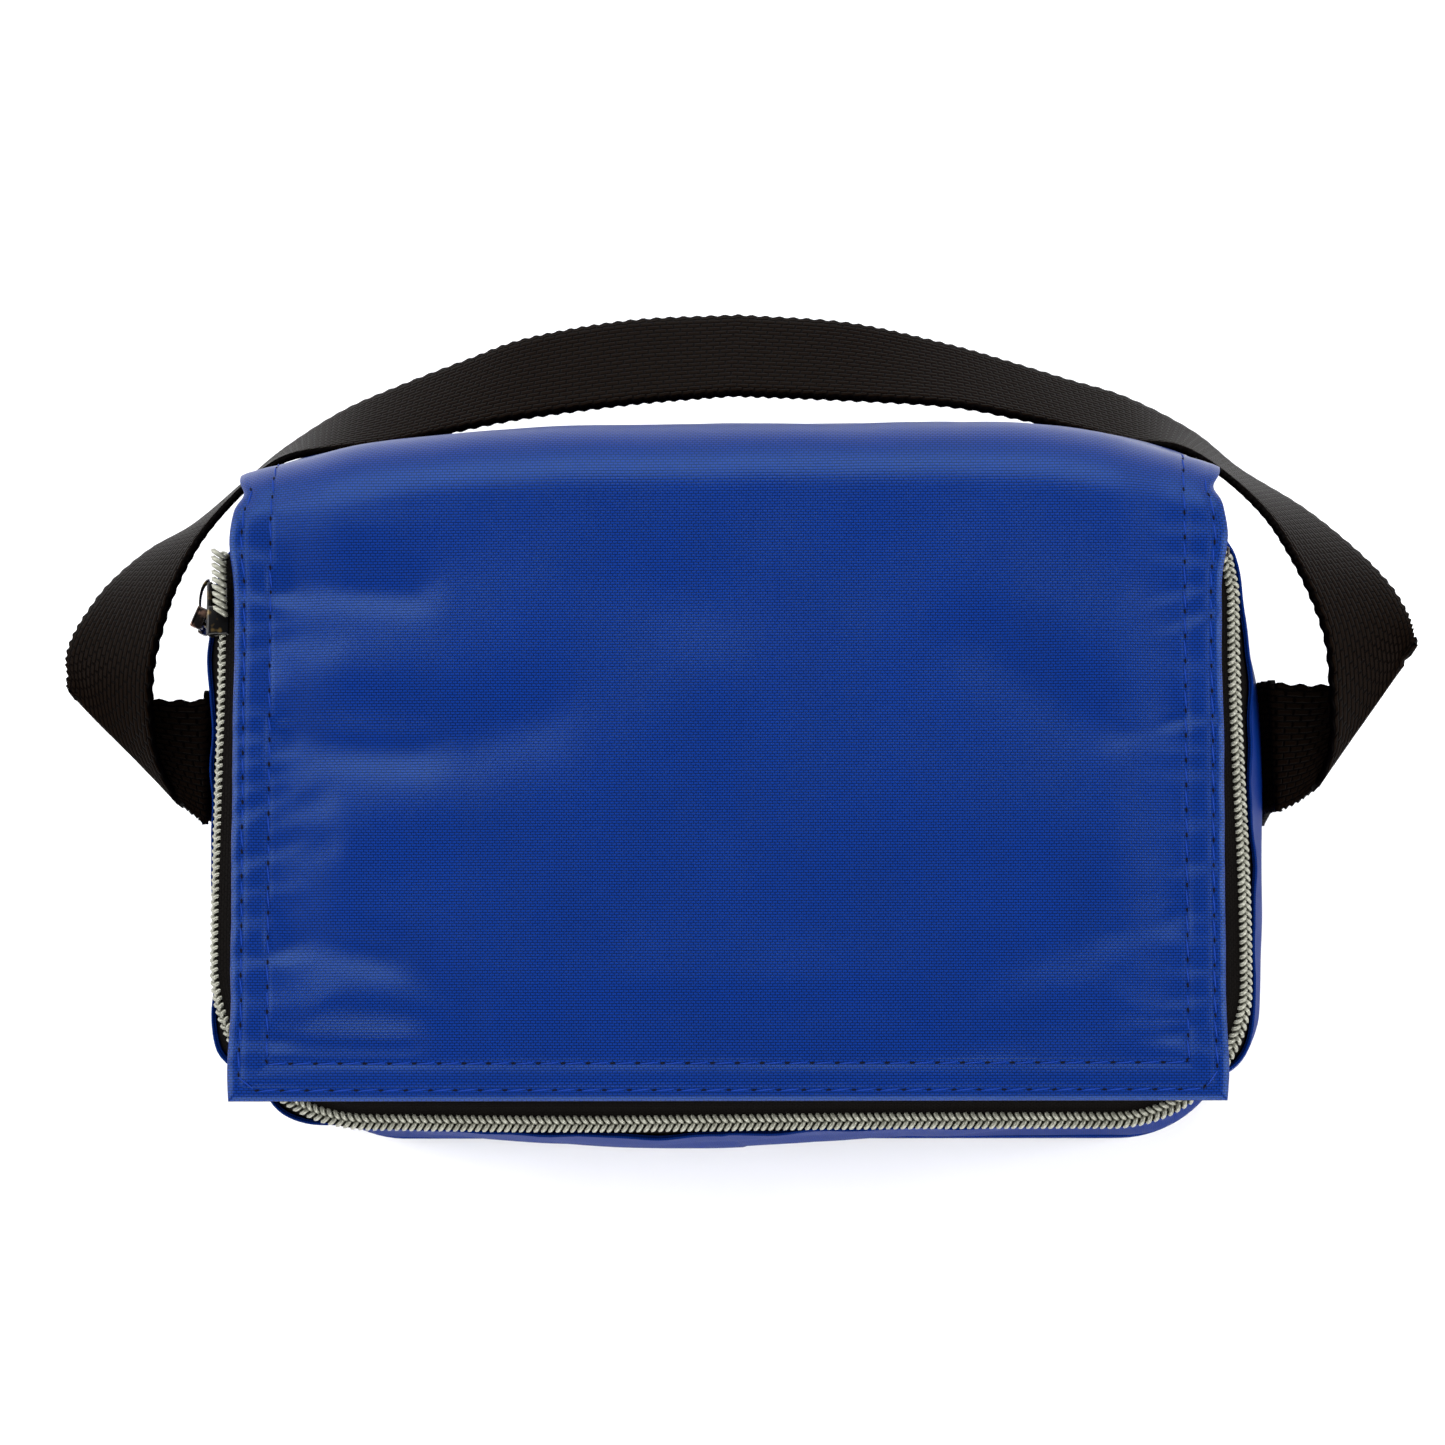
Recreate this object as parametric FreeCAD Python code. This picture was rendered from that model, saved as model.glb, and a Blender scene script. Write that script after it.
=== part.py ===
import FreeCAD, Part
import math
import os

# Soft insulated can cooler: a padded box bag, a padded lid that a zip closes on three sides,
# and a webbing strap sewn to the side walls.  Millimetres, +Z up, +Y towards the lid's hinge.
# The origin is the centre of the base, on the surface that the bag stands on.

# --- driving sizes -------------------------------------------------------------------------
BODY_WIDTH = 228.0        # outside, left to right
BODY_DEPTH = 158.0        # outside, front to back
BAG_HEIGHT = 150.0        # base to the top of the lid
CORNER_RADIUS = 24.0      # upright corners of the body, outside
FABRIC = 0.8              # coated woven cover
FOAM = 4.4                # closed-cell insulation
LINER = 0.5               # wipe-clean lining
TAPE = 0.6                # zip tape
BINDING = 0.5             # tape folded over the inner edge of the rim
RIM_DROP = 12.0           # lid top down to the top edge of the body's cover
TOP_RADIUS = 8.0          # roll of the cover over the fixed rear strip of the lid

LID_SIDE_INSET = 6.0      # body side to lid edge, each side
LID_FRONT_INSET = 5.6     # body front to the lid's front edge
LID_CORNER_RADIUS = 2.0
LID_HEM = 8.5             # sewn margin around the lid, without foam
HINGE_FROM_BACK = 30.7    # back of the body to the line that the lid folds along
HINGE_GAP = 0.3           # between the moving and the fixed part of the lid cover

COIL_RADIUS = 0.9         # one half of the zip's coil
COIL_INSET = 1.7          # body side to the coil's centre line
COIL_GAP = 1.4            # between the two coils, where the slider's post runs
BODY_COIL_ABOVE_RIM = 2.2
TAPE_DEPTH = 14.0         # sewn depth of the body's zip tape below the rim
LID_TAPE_INSET = 2.6      # body side to the lid tape's upright part
ZIP_END_MARGIN = 1.5      # hinge line to the end of the zip
STOP_LENGTH = 2.0         # end stop of the zip

SLIDER_LENGTH = 12.0
SLIDER_PLATE = 1.1
SLIDER_HEIGHT = 6.6
SLIDER_CLEARANCE = 0.4    # between the slider's plates and the coils
SLIDER_FROM_ZIP_END = 5.8 # slider's rear end to the end of the zip
POST_CLEARANCE = 0.35     # between the slider's post and each coil
POST_LENGTH = 3.0
BRIDGE_RADIUS = 0.7
BRIDGE_REACH = 3.4        # slider's outer plate to the centre of the bridge bar
PULL_CLEARANCE = 0.3      # between the bridge bar and the eye of the pull
PULL_WALL = 0.7
PULL_WIDTH = 4.8
PULL_LENGTH = 17.0
PULL_THICKNESS = 1.2

STRAP_WIDTH = 29.0
STRAP_THICKNESS = 1.6
STRAP_ROOT_Y = 7.0        # middle of the sewn ends, from the middle of the bag
STRAP_SWING_HEIGHT = 105.0
STRAP_SEWN_BOTTOM = 58.0
STRAP_JOIN_GAP = 0.3
STRAP_STEPS = 3           # flat stretches between two stations of the strap

# --- places worked out from them -----------------------------------------------------------
HALF_WIDTH = BODY_WIDTH / 2
HALF_DEPTH = BODY_DEPTH / 2
RIM_Z = BAG_HEIGHT - RIM_DROP
WALL = FABRIC + FOAM + LINER
FOAM_TOP_Z = RIM_Z - BINDING - 0.6
HINGE_Y = HALF_DEPTH - HINGE_FROM_BACK
ZIP_END_Y = HINGE_Y - ZIP_END_MARGIN
LID_UNDER_Z = BAG_HEIGHT - FABRIC
BODY_COIL_Z = RIM_Z + BODY_COIL_ABOVE_RIM
LID_COIL_Z = BODY_COIL_Z + 2 * COIL_RADIUS + COIL_GAP
SLIDER_REAR_Y = ZIP_END_Y - SLIDER_FROM_ZIP_END
BRIDGE_Z = LID_COIL_Z - 1.0
REACH = 60.0              # long enough for a cutting block to pass the body's sides

# Middle line of the right half of the strap, from its sewn end to the middle behind the bag:
# place beyond the body's side, place from the strap's root, height from the swing axis, and the
# direction from the strap's inner edge to its outer edge.
ROOT_STATIONS = [
    ((0.8, 0.0, STRAP_SEWN_BOTTOM - STRAP_SWING_HEIGHT), (0.0, 1.0, 0.0)),
    ((0.8, 0.0, -13.0), (0.0, 1.0, 0.0)),
    ((3.5, 0.0, -4.0), (0.0, 1.0, 0.0)),
    ((7.5, 0.0, 0.0), (0.0, 1.0, 0.0)),
    ((10.0, 0.0, 0.0), (0.0, 1.0, 0.0)),
]
LOOP_STATIONS = [
    ((13.0, 0.0, 0.0), (0.0, 1.0, 0.0)),
    ((24.0, 3.0, 4.0), (0.50, 0.55, -0.67)),
    ((28.0, 15.0, 10.0), (0.75, 0.00, -0.66)),
    ((26.0, 29.0, 12.0), (0.68, 0.05, -0.73)),
    ((16.0, 46.0, 11.0), (0.40, 0.10, -0.91)),
]
# Where the strap lies along the back wall: share of the half width, gap behind the wall, height
# from the swing axis, and the same direction.
BACK_STATIONS = [
    (0.98, -4.4, 9.0, (0.10, 0.12, -0.99)),
    (0.90, 1.6, 7.5, (0.06, 0.10, -0.99)),
    (0.80, 4.2, 6.0, (0.02, 0.12, -0.99)),
    (0.62, 6.8, 4.5, (0.00, 0.33, -0.94)),
    (0.42, 10.8, 3.5, (0.00, 0.50, -0.87)),
    (0.22, 13.6, 3.0, (0.00, 0.63, -0.78)),
]
BACK_MIDDLE = (0.0, 14.6, 3.0, (0.00, 0.70, -0.71))


def save(name, shape):
    os.makedirs("parts", exist_ok=True)
    shape.exportStep("parts/" + name + ".step")


def box(x0, x1, y0, y1, z0, z1):
    return Part.makeBox(x1 - x0, y1 - y0, z1 - z0, FreeCAD.Vector(x0, y0, z0))


def upright_edges(shape):
    return [e for e in shape.Edges if abs(e.tangentAt(e.FirstParameter).z) > 0.99]


def body_block(inset, z0, z1):
    """The body's outline, inset all round, as a block between two heights."""
    block = box(-HALF_WIDTH + inset, HALF_WIDTH - inset, -HALF_DEPTH + inset, HALF_DEPTH - inset, z0, z1)
    return block.makeFillet(CORNER_RADIUS - inset, upright_edges(block))


def body_ring(outer_inset, inner_inset, z0, z1):
    return body_block(outer_inset, z0, z1).cut(body_block(inner_inset, z0 - 1, z1 + 1))


def sector(side):
    """Upright wedge that holds one wall, mitred through the corners."""
    cx = HALF_WIDTH - CORNER_RADIUS
    cy = HALF_DEPTH - CORNER_RADIUS
    far = REACH
    outlines = {
        "front": [(-cx, -cy), (cx, -cy), (cx + far, -cy - far), (-cx - far, -cy - far)],
        "back": [(cx, cy), (-cx, cy), (-cx - far, cy + far), (cx + far, cy + far)],
        "right": [(cx, -cy), (cx, cy), (cx + far, cy + far), (cx + far, -cy - far)],
        "left": [(-cx, cy), (-cx, -cy), (-cx - far, -cy - far), (-cx - far, cy + far)],
    }
    points = [FreeCAD.Vector(x, y, -1) for x, y in outlines[side]]
    face = Part.Face(Part.makePolygon(points + points[:1]))
    return face.extrude(FreeCAD.Vector(0, 0, BAG_HEIGHT + 2))


def zip_region(z0, z1):
    """Block in front of the end of the zip."""
    return box(-HALF_WIDTH - 1, HALF_WIDTH + 1, -HALF_DEPTH - 1, ZIP_END_Y, z0, z1)


def body_zip_tape():
    ring = body_ring(FABRIC, FABRIC + TAPE, RIM_Z - TAPE_DEPTH, BODY_COIL_Z - COIL_RADIUS)
    return ring.common(zip_region(0, BAG_HEIGHT))


def coil_path(z, end_y):
    """Centre line of one coil: left side, front corners and right side."""
    x = HALF_WIDTH - COIL_INSET
    y = HALF_DEPTH - COIL_INSET
    r = CORNER_RADIUS - COIL_INSET
    bend = r * math.sin(math.radians(45))
    left_bend = FreeCAD.Vector(-x + r - bend, -y + r - bend, z)
    right_bend = FreeCAD.Vector(x - r + bend, -y + r - bend, z)
    corners = [
        FreeCAD.Vector(-x, end_y, z), FreeCAD.Vector(-x, -y + r, z),
        FreeCAD.Vector(-x + r, -y, z), FreeCAD.Vector(x - r, -y, z),
        FreeCAD.Vector(x, -y + r, z), FreeCAD.Vector(x, end_y, z),
    ]
    edges = [
        Part.LineSegment(corners[0], corners[1]).toShape(),
        Part.Arc(corners[1], left_bend, corners[2]).toShape(),
        Part.LineSegment(corners[2], corners[3]).toShape(),
        Part.Arc(corners[3], right_bend, corners[4]).toShape(),
        Part.LineSegment(corners[4], corners[5]).toShape(),
    ]
    return Part.Wire(edges)


def coil(z):
    end_y = ZIP_END_Y - STOP_LENGTH
    start = FreeCAD.Vector(-HALF_WIDTH + COIL_INSET, end_y, z)
    circle = Part.Wire(Part.makeCircle(COIL_RADIUS, start, FreeCAD.Vector(0, 1, 0)))
    return coil_path(z, end_y).makePipeShell([circle], True, False)


def zip_stop(side):
    """Small clamp on the end of the body's coil; side is -1 for left and 1 for right."""
    mid_x = side * (HALF_WIDTH - COIL_INSET)
    half = COIL_RADIUS + 0.3
    low_z = BODY_COIL_Z - COIL_RADIUS
    high_z = BODY_COIL_Z + COIL_RADIUS + 0.2
    return box(mid_x - half, mid_x + half, ZIP_END_Y - STOP_LENGTH, ZIP_END_Y, low_z, high_z)


def lid_outline(inset, corner_radius, z0, z1):
    block = box(-HALF_WIDTH + LID_SIDE_INSET + inset, HALF_WIDTH - LID_SIDE_INSET - inset,
                -HALF_DEPTH + LID_FRONT_INSET + inset, HINGE_Y, z0, z1)
    front = [e for e in upright_edges(block) if e.BoundBox.YMax < 0]
    return block.makeFillet(corner_radius, front)


def lid_layer(z_top, thickness):
    """Foam or liner of the lid, inside the sewn margin."""
    corner_radius = CORNER_RADIUS - LID_SIDE_INSET - LID_HEM
    return lid_outline(LID_HEM, corner_radius, z_top - thickness, z_top)


def lid_zip_tape():
    """Tape sewn under the lid's hem, with an upright edge that carries the coil."""
    low_z = LID_COIL_Z - COIL_RADIUS
    flange = body_ring(LID_TAPE_INSET, LID_SIDE_INSET + LID_HEM - 0.5, LID_UNDER_Z - TAPE, LID_UNDER_Z)
    web = body_ring(LID_TAPE_INSET, LID_TAPE_INSET + TAPE, low_z, LID_UNDER_Z - TAPE)
    return flange.fuse(web).removeSplitter().common(zip_region(0, BAG_HEIGHT))


def lid_coil():
    """The lid's coil lies against the outside of the lid tape's upright edge."""
    return coil(LID_COIL_Z).cut(body_ring(LID_TAPE_INSET, LID_TAPE_INSET + 3 * COIL_RADIUS, RIM_Z, BAG_HEIGHT))


def rear_hood(inset):
    """Top of the bag behind the hinge line, rolled over the back and side edges."""
    block = body_block(inset, RIM_Z - 20, BAG_HEIGHT - inset)
    top = [e for e in block.Edges if e.BoundBox.ZMin > BAG_HEIGHT - inset - 0.01]
    return block.makeFillet(TOP_RADIUS - inset, top)


def rear_layer(inset, thickness, front_y):
    keep = box(-HALF_WIDTH - 1, HALF_WIDTH + 1, front_y, HALF_DEPTH + 1, RIM_Z, BAG_HEIGHT + 1)
    return rear_hood(inset).cut(rear_hood(inset + thickness)).common(keep)


def rim_binding():
    """Tape folded over the top of the foam and liner, with a leg down the inside."""
    inner = WALL + BINDING
    cap = body_ring(FABRIC + TAPE, inner, FOAM_TOP_Z, FOAM_TOP_Z + BINDING)
    leg = body_ring(WALL, inner, FOAM_TOP_Z - 8, FOAM_TOP_Z)
    return cap.fuse(leg).removeSplitter()


def slider():
    """Two plates, one each side of the coils, joined by the post that parts the coils."""
    coil_x = -HALF_WIDTH + COIL_INSET
    outer_x = coil_x - COIL_RADIUS - SLIDER_CLEARANCE
    inner_x = -HALF_WIDTH + LID_TAPE_INSET + TAPE + SLIDER_CLEARANCE
    low_z = RIM_Z + SLIDER_CLEARANCE
    front_y = SLIDER_REAR_Y - SLIDER_LENGTH
    outer = box(outer_x - SLIDER_PLATE, outer_x, front_y, SLIDER_REAR_Y, low_z, low_z + SLIDER_HEIGHT)
    inner = box(inner_x, inner_x + SLIDER_PLATE, front_y, SLIDER_REAR_Y, low_z, low_z + SLIDER_HEIGHT)
    post_low = BODY_COIL_Z + COIL_RADIUS + POST_CLEARANCE
    post_high = LID_COIL_Z - COIL_RADIUS - POST_CLEARANCE
    post = box(outer_x, inner_x, SLIDER_REAR_Y - POST_LENGTH, SLIDER_REAR_Y, post_low, post_high)
    return outer.fuse([inner, post]).removeSplitter()


def bridge_x():
    return -HALF_WIDTH + COIL_INSET - COIL_RADIUS - SLIDER_CLEARANCE - SLIDER_PLATE - BRIDGE_REACH


def slider_bridge():
    """Bar along the slider's outer plate, on a leg at each end, that carries the pull."""
    x = bridge_x()
    r = BRIDGE_RADIUS
    plate_x = x + BRIDGE_REACH
    front_y = SLIDER_REAR_Y - SLIDER_LENGTH
    bar = Part.makeCylinder(r, SLIDER_LENGTH, FreeCAD.Vector(x, front_y, BRIDGE_Z), FreeCAD.Vector(0, 1, 0))
    legs = [box(x, plate_x, y, y + 2 * r, BRIDGE_Z - r, BRIDGE_Z + r)
            for y in (front_y, SLIDER_REAR_Y - 2 * r)]
    return bar.fuse(legs).removeSplitter()


def pull_tab():
    """Sheet pull with an eye rolled round the bridge bar; it hangs straight down."""
    x = bridge_x()
    inner_r = BRIDGE_RADIUS + PULL_CLEARANCE
    outer_r = inner_r + PULL_WALL
    y0 = SLIDER_REAR_Y - SLIDER_LENGTH + 2 * BRIDGE_RADIUS + PULL_CLEARANCE
    along = FreeCAD.Vector(0, 1, 0)
    eye = Part.makeCylinder(outer_r, PULL_WIDTH, FreeCAD.Vector(x, y0, BRIDGE_Z), along)
    half = PULL_THICKNESS / 2
    plate = box(x - half, x + half, y0, y0 + PULL_WIDTH, BRIDGE_Z - PULL_LENGTH, BRIDGE_Z)
    hole = Part.makeCylinder(inner_r, PULL_WIDTH + 2, FreeCAD.Vector(x, y0 - 1, BRIDGE_Z), along)
    return eye.fuse(plate).removeSplitter().cut(hole)


def band_corners(centre, across, ahead):
    """Four corners of the strap's section at one place."""
    normal = ahead.cross(across)
    normal.normalize()
    w = across * (STRAP_WIDTH / 2)
    t = normal * (STRAP_THICKNESS / 2)
    return [centre - w - t, centre + w - t, centre + w + t, centre - w + t]


def between(a, b, c, d, share):
    """Point on the smooth curve from b to c, which a and d steer."""
    s2 = share * share
    s3 = s2 * share
    wa = (-s3 + 2 * s2 - share) / 2
    wb = (3 * s3 - 5 * s2 + 2) / 2
    wc = (-3 * s3 + 4 * s2 + share) / 2
    wd = (s3 - s2) / 2
    return a * wa + b * wb + c * wc + d * wd


def smooth(stations):
    """Stations with more of them set between, on a smooth curve; the two end runs stay straight."""
    last = len(stations) - 1
    finer = [stations[0]]
    for i in range(1, last - 1):
        near = stations[i - 1:i + 3]
        for step in range(STRAP_STEPS):
            share = step / STRAP_STEPS
            finer.append(tuple(between(*[n[part] for n in near], share) for part in (0, 1)))
    return finer + stations[last - 1:]


def band(stations):
    """Closed strip of flat triangles through the stations."""
    centres = [c for c, _ in stations]
    sections = []
    for i, (centre, across) in enumerate(stations):
        before = centres[max(i - 1, 0)]
        after = centres[min(i + 1, len(centres) - 1)]
        ahead = after - before
        ahead.normalize()
        flat = across - ahead * across.dot(ahead)
        flat.normalize()
        sections.append(band_corners(centre, flat, ahead))
    triangles = []
    for a, b in zip(sections, sections[1:]):
        triangles += [(a[0], a[1], b[1]), (a[0], b[1], b[0])]
        triangles += [(a[1], a[2], b[2]), (a[1], b[2], b[1])]
        triangles += [(a[2], a[3], b[2]), (a[3], b[3], b[2])]
        triangles += [(a[3], a[0], b[0]), (a[3], b[0], b[3])]
    first, last = sections[0], sections[-1]
    triangles += [(first[0], first[2], first[1]), (first[0], first[3], first[2])]
    triangles += [(last[0], last[1], last[2]), (last[0], last[2], last[3])]
    faces = [Part.Face(Part.makePolygon([p, q, r, p])) for p, q, r in triangles]
    solid = Part.makeSolid(Part.makeShell(faces))
    if solid.Volume < 0:
        solid.reverse()
    return solid


def strap_place(beyond_side, from_root, above_axis, side):
    x = side * (HALF_WIDTH + beyond_side)
    return FreeCAD.Vector(x, STRAP_ROOT_Y + from_root, STRAP_SWING_HEIGHT + above_axis)


def strap_root(side):
    stations = []
    for (beyond, back, up), (wx, wy, wz) in ROOT_STATIONS:
        stations.append((strap_place(beyond, back, up, side), FreeCAD.Vector(side * wx, wy, wz)))
    return band(stations)


def half_loop(side):
    """Stations of one half of the loose strap, from its root to short of the middle."""
    (beyond, back, up), (wx, wy, wz) = ROOT_STATIONS[-1]
    start = strap_place(beyond + STRAP_JOIN_GAP, back, up, side)
    stations = [(start, FreeCAD.Vector(side * wx, wy, wz))]
    for (beyond, back, up), (wx, wy, wz) in LOOP_STATIONS:
        stations.append((strap_place(beyond, back, up, side), FreeCAD.Vector(side * wx, wy, wz)))
    for share, behind, up, (wx, wy, wz) in BACK_STATIONS:
        place = FreeCAD.Vector(side * share * HALF_WIDTH, HALF_DEPTH + behind, STRAP_SWING_HEIGHT + up)
        stations.append((place, FreeCAD.Vector(side * wx, wy, wz)))
    return stations


def carry_strap():
    share, behind, up, across = BACK_MIDDLE
    middle = FreeCAD.Vector(share, HALF_DEPTH + behind, STRAP_SWING_HEIGHT + up)
    right = half_loop(1)
    left = half_loop(-1)
    return band(smooth(right + [(middle, FreeCAD.Vector(*across))] + left[::-1]))


def save_walls():
    tape = body_zip_tape()
    layers = {
        "panel": body_ring(0, FABRIC, FABRIC, RIM_Z),
        "foam": body_ring(FABRIC, FABRIC + FOAM, FABRIC + FOAM, FOAM_TOP_Z).cut(tape),
        "liner": body_ring(FABRIC + FOAM, WALL, WALL, FOAM_TOP_Z),
    }
    for side in ("front", "back", "left", "right"):
        for layer, ring in layers.items():
            save(side + "_" + layer, ring.common(sector(side)))
    save("base_panel", body_block(0, 0, FABRIC))
    save("base_foam", body_block(FABRIC, FABRIC, FABRIC + FOAM))
    save("base_liner", body_block(FABRIC + FOAM, FABRIC + FOAM, WALL))
    save("body_zip_tape", tape)
    save("rim_binding", rim_binding())


def save_rear_strip():
    front_y = HINGE_Y + HINGE_GAP
    save("rear_strip_cover", rear_layer(0, FABRIC, front_y))
    save("rear_strip_foam", rear_layer(FABRIC, FOAM, front_y + 1))
    save("rear_strip_liner", rear_layer(FABRIC + FOAM, LINER, front_y + 1))


def save_lid():
    save("lid_cover", lid_outline(0, LID_CORNER_RADIUS, LID_UNDER_Z, BAG_HEIGHT))
    save("lid_foam", lid_layer(LID_UNDER_Z, FOAM))
    save("lid_liner", lid_layer(LID_UNDER_Z - FOAM, LINER))
    save("lid_zip_tape", lid_zip_tape())
    save("lid_zip_coil", lid_coil())


def save_zip():
    save("body_zip_coil", coil(BODY_COIL_Z))
    save("left_zip_stop", zip_stop(-1))
    save("right_zip_stop", zip_stop(1))
    save("zip_slider", slider())
    save("slider_bridge", slider_bridge())
    save("pull_tab", pull_tab())


def save_strap():
    save("left_strap_end", strap_root(-1))
    save("right_strap_end", strap_root(1))
    save("carry_strap", carry_strap())


save_walls()
save_rear_strip()
save_lid()
save_zip()
save_strap()
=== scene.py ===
import math

import bmesh
import bpy
import numpy as np
from mathutils import Matrix, Vector


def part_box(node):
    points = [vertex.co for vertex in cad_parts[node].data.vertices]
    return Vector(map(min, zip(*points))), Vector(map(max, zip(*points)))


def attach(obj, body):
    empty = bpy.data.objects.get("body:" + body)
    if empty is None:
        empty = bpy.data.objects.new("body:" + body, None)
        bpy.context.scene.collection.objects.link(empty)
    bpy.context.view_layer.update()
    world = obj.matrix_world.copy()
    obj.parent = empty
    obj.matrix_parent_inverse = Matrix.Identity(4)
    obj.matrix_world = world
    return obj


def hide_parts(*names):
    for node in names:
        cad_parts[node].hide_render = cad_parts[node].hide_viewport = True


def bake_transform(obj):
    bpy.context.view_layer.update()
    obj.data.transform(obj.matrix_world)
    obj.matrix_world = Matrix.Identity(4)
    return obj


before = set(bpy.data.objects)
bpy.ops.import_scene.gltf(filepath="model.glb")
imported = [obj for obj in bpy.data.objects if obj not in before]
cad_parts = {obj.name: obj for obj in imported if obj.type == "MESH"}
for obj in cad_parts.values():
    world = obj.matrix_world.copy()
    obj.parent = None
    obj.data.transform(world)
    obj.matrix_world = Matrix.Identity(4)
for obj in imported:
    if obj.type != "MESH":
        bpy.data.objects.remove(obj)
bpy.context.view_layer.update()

# Insulated can cooler: padded box bag, lid zipped on three sides, webbing carry strap.
# +Z is up and +Y is towards the lid's fold.  Values read from the frame are metres.  The functions that
# shape the soft pieces work in millimetres, and their results are multiplied by MM when a mesh is made.
MM = 0.001

# --- places taken from the frame -------------------------------------------------------------
LID_LOW, LID_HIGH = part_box("lid_cover")
SLIDER_LOW, SLIDER_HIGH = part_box("zip_slider")
PULL_LOW, PULL_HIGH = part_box("pull_tab")
ROOT_LOW, ROOT_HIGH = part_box("right_strap_end")

HALF_WIDTH, HALF_DEPTH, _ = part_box("base_panel")[1]
RIM_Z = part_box("front_panel")[1][2]
LID_HALF, FOLD_Y, TOP_Z = LID_HIGH
LID_FRONT = LID_LOW[1]
ZIP_END_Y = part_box("body_zip_tape")[1][1]
COIL_Z = (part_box("body_zip_coil")[0][2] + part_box("lid_zip_coil")[1][2]) / 2
STRAP_WIDTH = ROOT_HIGH[1] - ROOT_LOW[1]
STRAP_THICK = 1.6 * MM
COVER_THICK = 0.8 * MM
LID_THICK = 1.3 * MM        # cloth with its hem turned in
TAPE_THICK = 0.55 * MM
FILM_THICK = 0.5 * MM
FOAM_THICK = 3.0 * MM
SEAM_MERGE = 0.05 * MM      # points nearer than this are one

# --- small helpers ---------------------------------------------------------------------------


def smooth_step(low, high, value):
    """0 below low, 1 above high, and an easy curve between."""
    t = np.clip((value - low) / (high - low), 0.0, 1.0)
    return t * t * (3 - 2 * t)


def wander(seed, *coordinates, octaves=3):
    """Soft repeatable unevenness, about -1 to 1, from a few slanting waves."""
    draw = np.random.default_rng(seed)
    total = 0.0
    strength = 1.0
    for octave in range(octaves):
        for _ in range(4):
            direction = draw.normal(size=len(coordinates))
            direction /= np.linalg.norm(direction)
            phase = draw.uniform(0, 2 * math.pi)
            along = sum(c * d for c, d in zip(coordinates, direction))
            total = total + strength * np.sin(along * (1.7 ** octave) * 2 * math.pi + phase)
        strength *= 0.6
    return total / 5.0


def smooth_piece(name, mesh):
    """An object for a new mesh, shaded smooth."""
    mesh.update()
    for polygon in mesh.polygons:
        polygon.use_smooth = True
    piece = bpy.data.objects.new(name, mesh)
    bpy.context.collection.objects.link(piece)
    return piece


def sheet_mesh(name, points, uv, closed=False):
    """A grid of points, rows by columns, as a mesh with a UV map in metres of cloth."""
    rows, columns = points.shape[:2]
    corners = points.reshape(-1, 3)
    across = columns if closed else columns - 1
    faces = []
    loops = []
    for r in range(rows - 1):
        for c in range(across):
            n = (c + 1) % columns
            faces.append((r * columns + c, r * columns + n, (r + 1) * columns + n, (r + 1) * columns + c))
            loops += [uv[r, c], uv[r, c + 1], uv[r + 1, c + 1], uv[r + 1, c]]
    mesh = bpy.data.meshes.new(name)
    mesh.from_pydata(corners.tolist(), [], faces)
    layer = mesh.uv_layers.new(name="cloth")
    layer.data.foreach_set("uv", np.array(loops, np.float32).ravel())
    mesh.validate()
    return smooth_piece(name, mesh)


def use_only(piece):
    bpy.ops.object.select_all(action="DESELECT")
    piece.select_set(True)
    bpy.context.view_layer.objects.active = piece


def shape_all(*steps):
    """Runs edit operators, each with its settings, on the whole of the active piece."""
    bpy.ops.object.mode_set(mode="EDIT")
    bpy.ops.mesh.select_all(action="SELECT")
    for operator, settings in steps:
        operator(**settings)
    bpy.ops.object.mode_set(mode="OBJECT")


def fresh(primitive, *applied, **settings):
    """A new primitive, alone in the selection, with the named parts of its placing applied."""
    bpy.ops.object.select_all(action="DESELECT")
    primitive(**settings)
    if applied:
        parts = ("location", "rotation", "scale")
        bpy.ops.object.transform_apply(**{part: part in applied for part in parts})
    return bpy.context.active_object


def apply_modifier(piece, kind, **settings):
    """Adds a modifier with its settings and applies it."""
    use_only(piece)
    modifier = piece.modifiers.new(kind.lower(), kind)
    for key, value in settings.items():
        setattr(modifier, key, value)
    bpy.ops.object.modifier_apply(modifier=modifier.name)


def thicken(piece, thickness, offset=-1.0):
    apply_modifier(piece, "SOLIDIFY", thickness=thickness, offset=offset, use_rim=True)


def finish_piece(piece, body, material, replaces=()):
    piece.data.materials.clear()
    piece.data.materials.append(material)
    if body:
        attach(piece, body)
    if replaces:
        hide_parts(*replaces)
    return piece


def template(piece):
    """The points and faces of a modelled piece, which is then removed."""
    mesh = piece.data
    points = np.array([v.co for v in mesh.vertices], float)
    faces = [tuple(p.vertices) for p in mesh.polygons]
    bpy.data.objects.remove(piece, do_unlink=True)
    bpy.data.meshes.remove(mesh)
    return points, faces


def joined(name, parts):
    """One mesh from many placed copies, each a pair of points and faces."""
    points = []
    faces = []
    start = 0
    for part_points, part_faces in parts:
        points.append(part_points)
        faces += [tuple(i + start for i in face) for face in part_faces]
        start += len(part_points)
    mesh = bpy.data.meshes.new(name)
    mesh.from_pydata(np.vstack(points).tolist(), [], faces)
    return smooth_piece(name, mesh)


# --- materials -------------------------------------------------------------------------------


def tone(code):
    """Linear colour from an sRGB hex value."""
    values = [int(code[i:i + 2], 16) / 255 for i in (1, 3, 5)]
    linear = [v / 12.92 if v <= 0.04045 else ((v + 0.055) / 1.055) ** 2.4 for v in values]
    return (*linear, 1.0)


def new_material(name):
    material = bpy.data.materials.new(name)
    material.use_nodes = True
    return material


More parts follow.
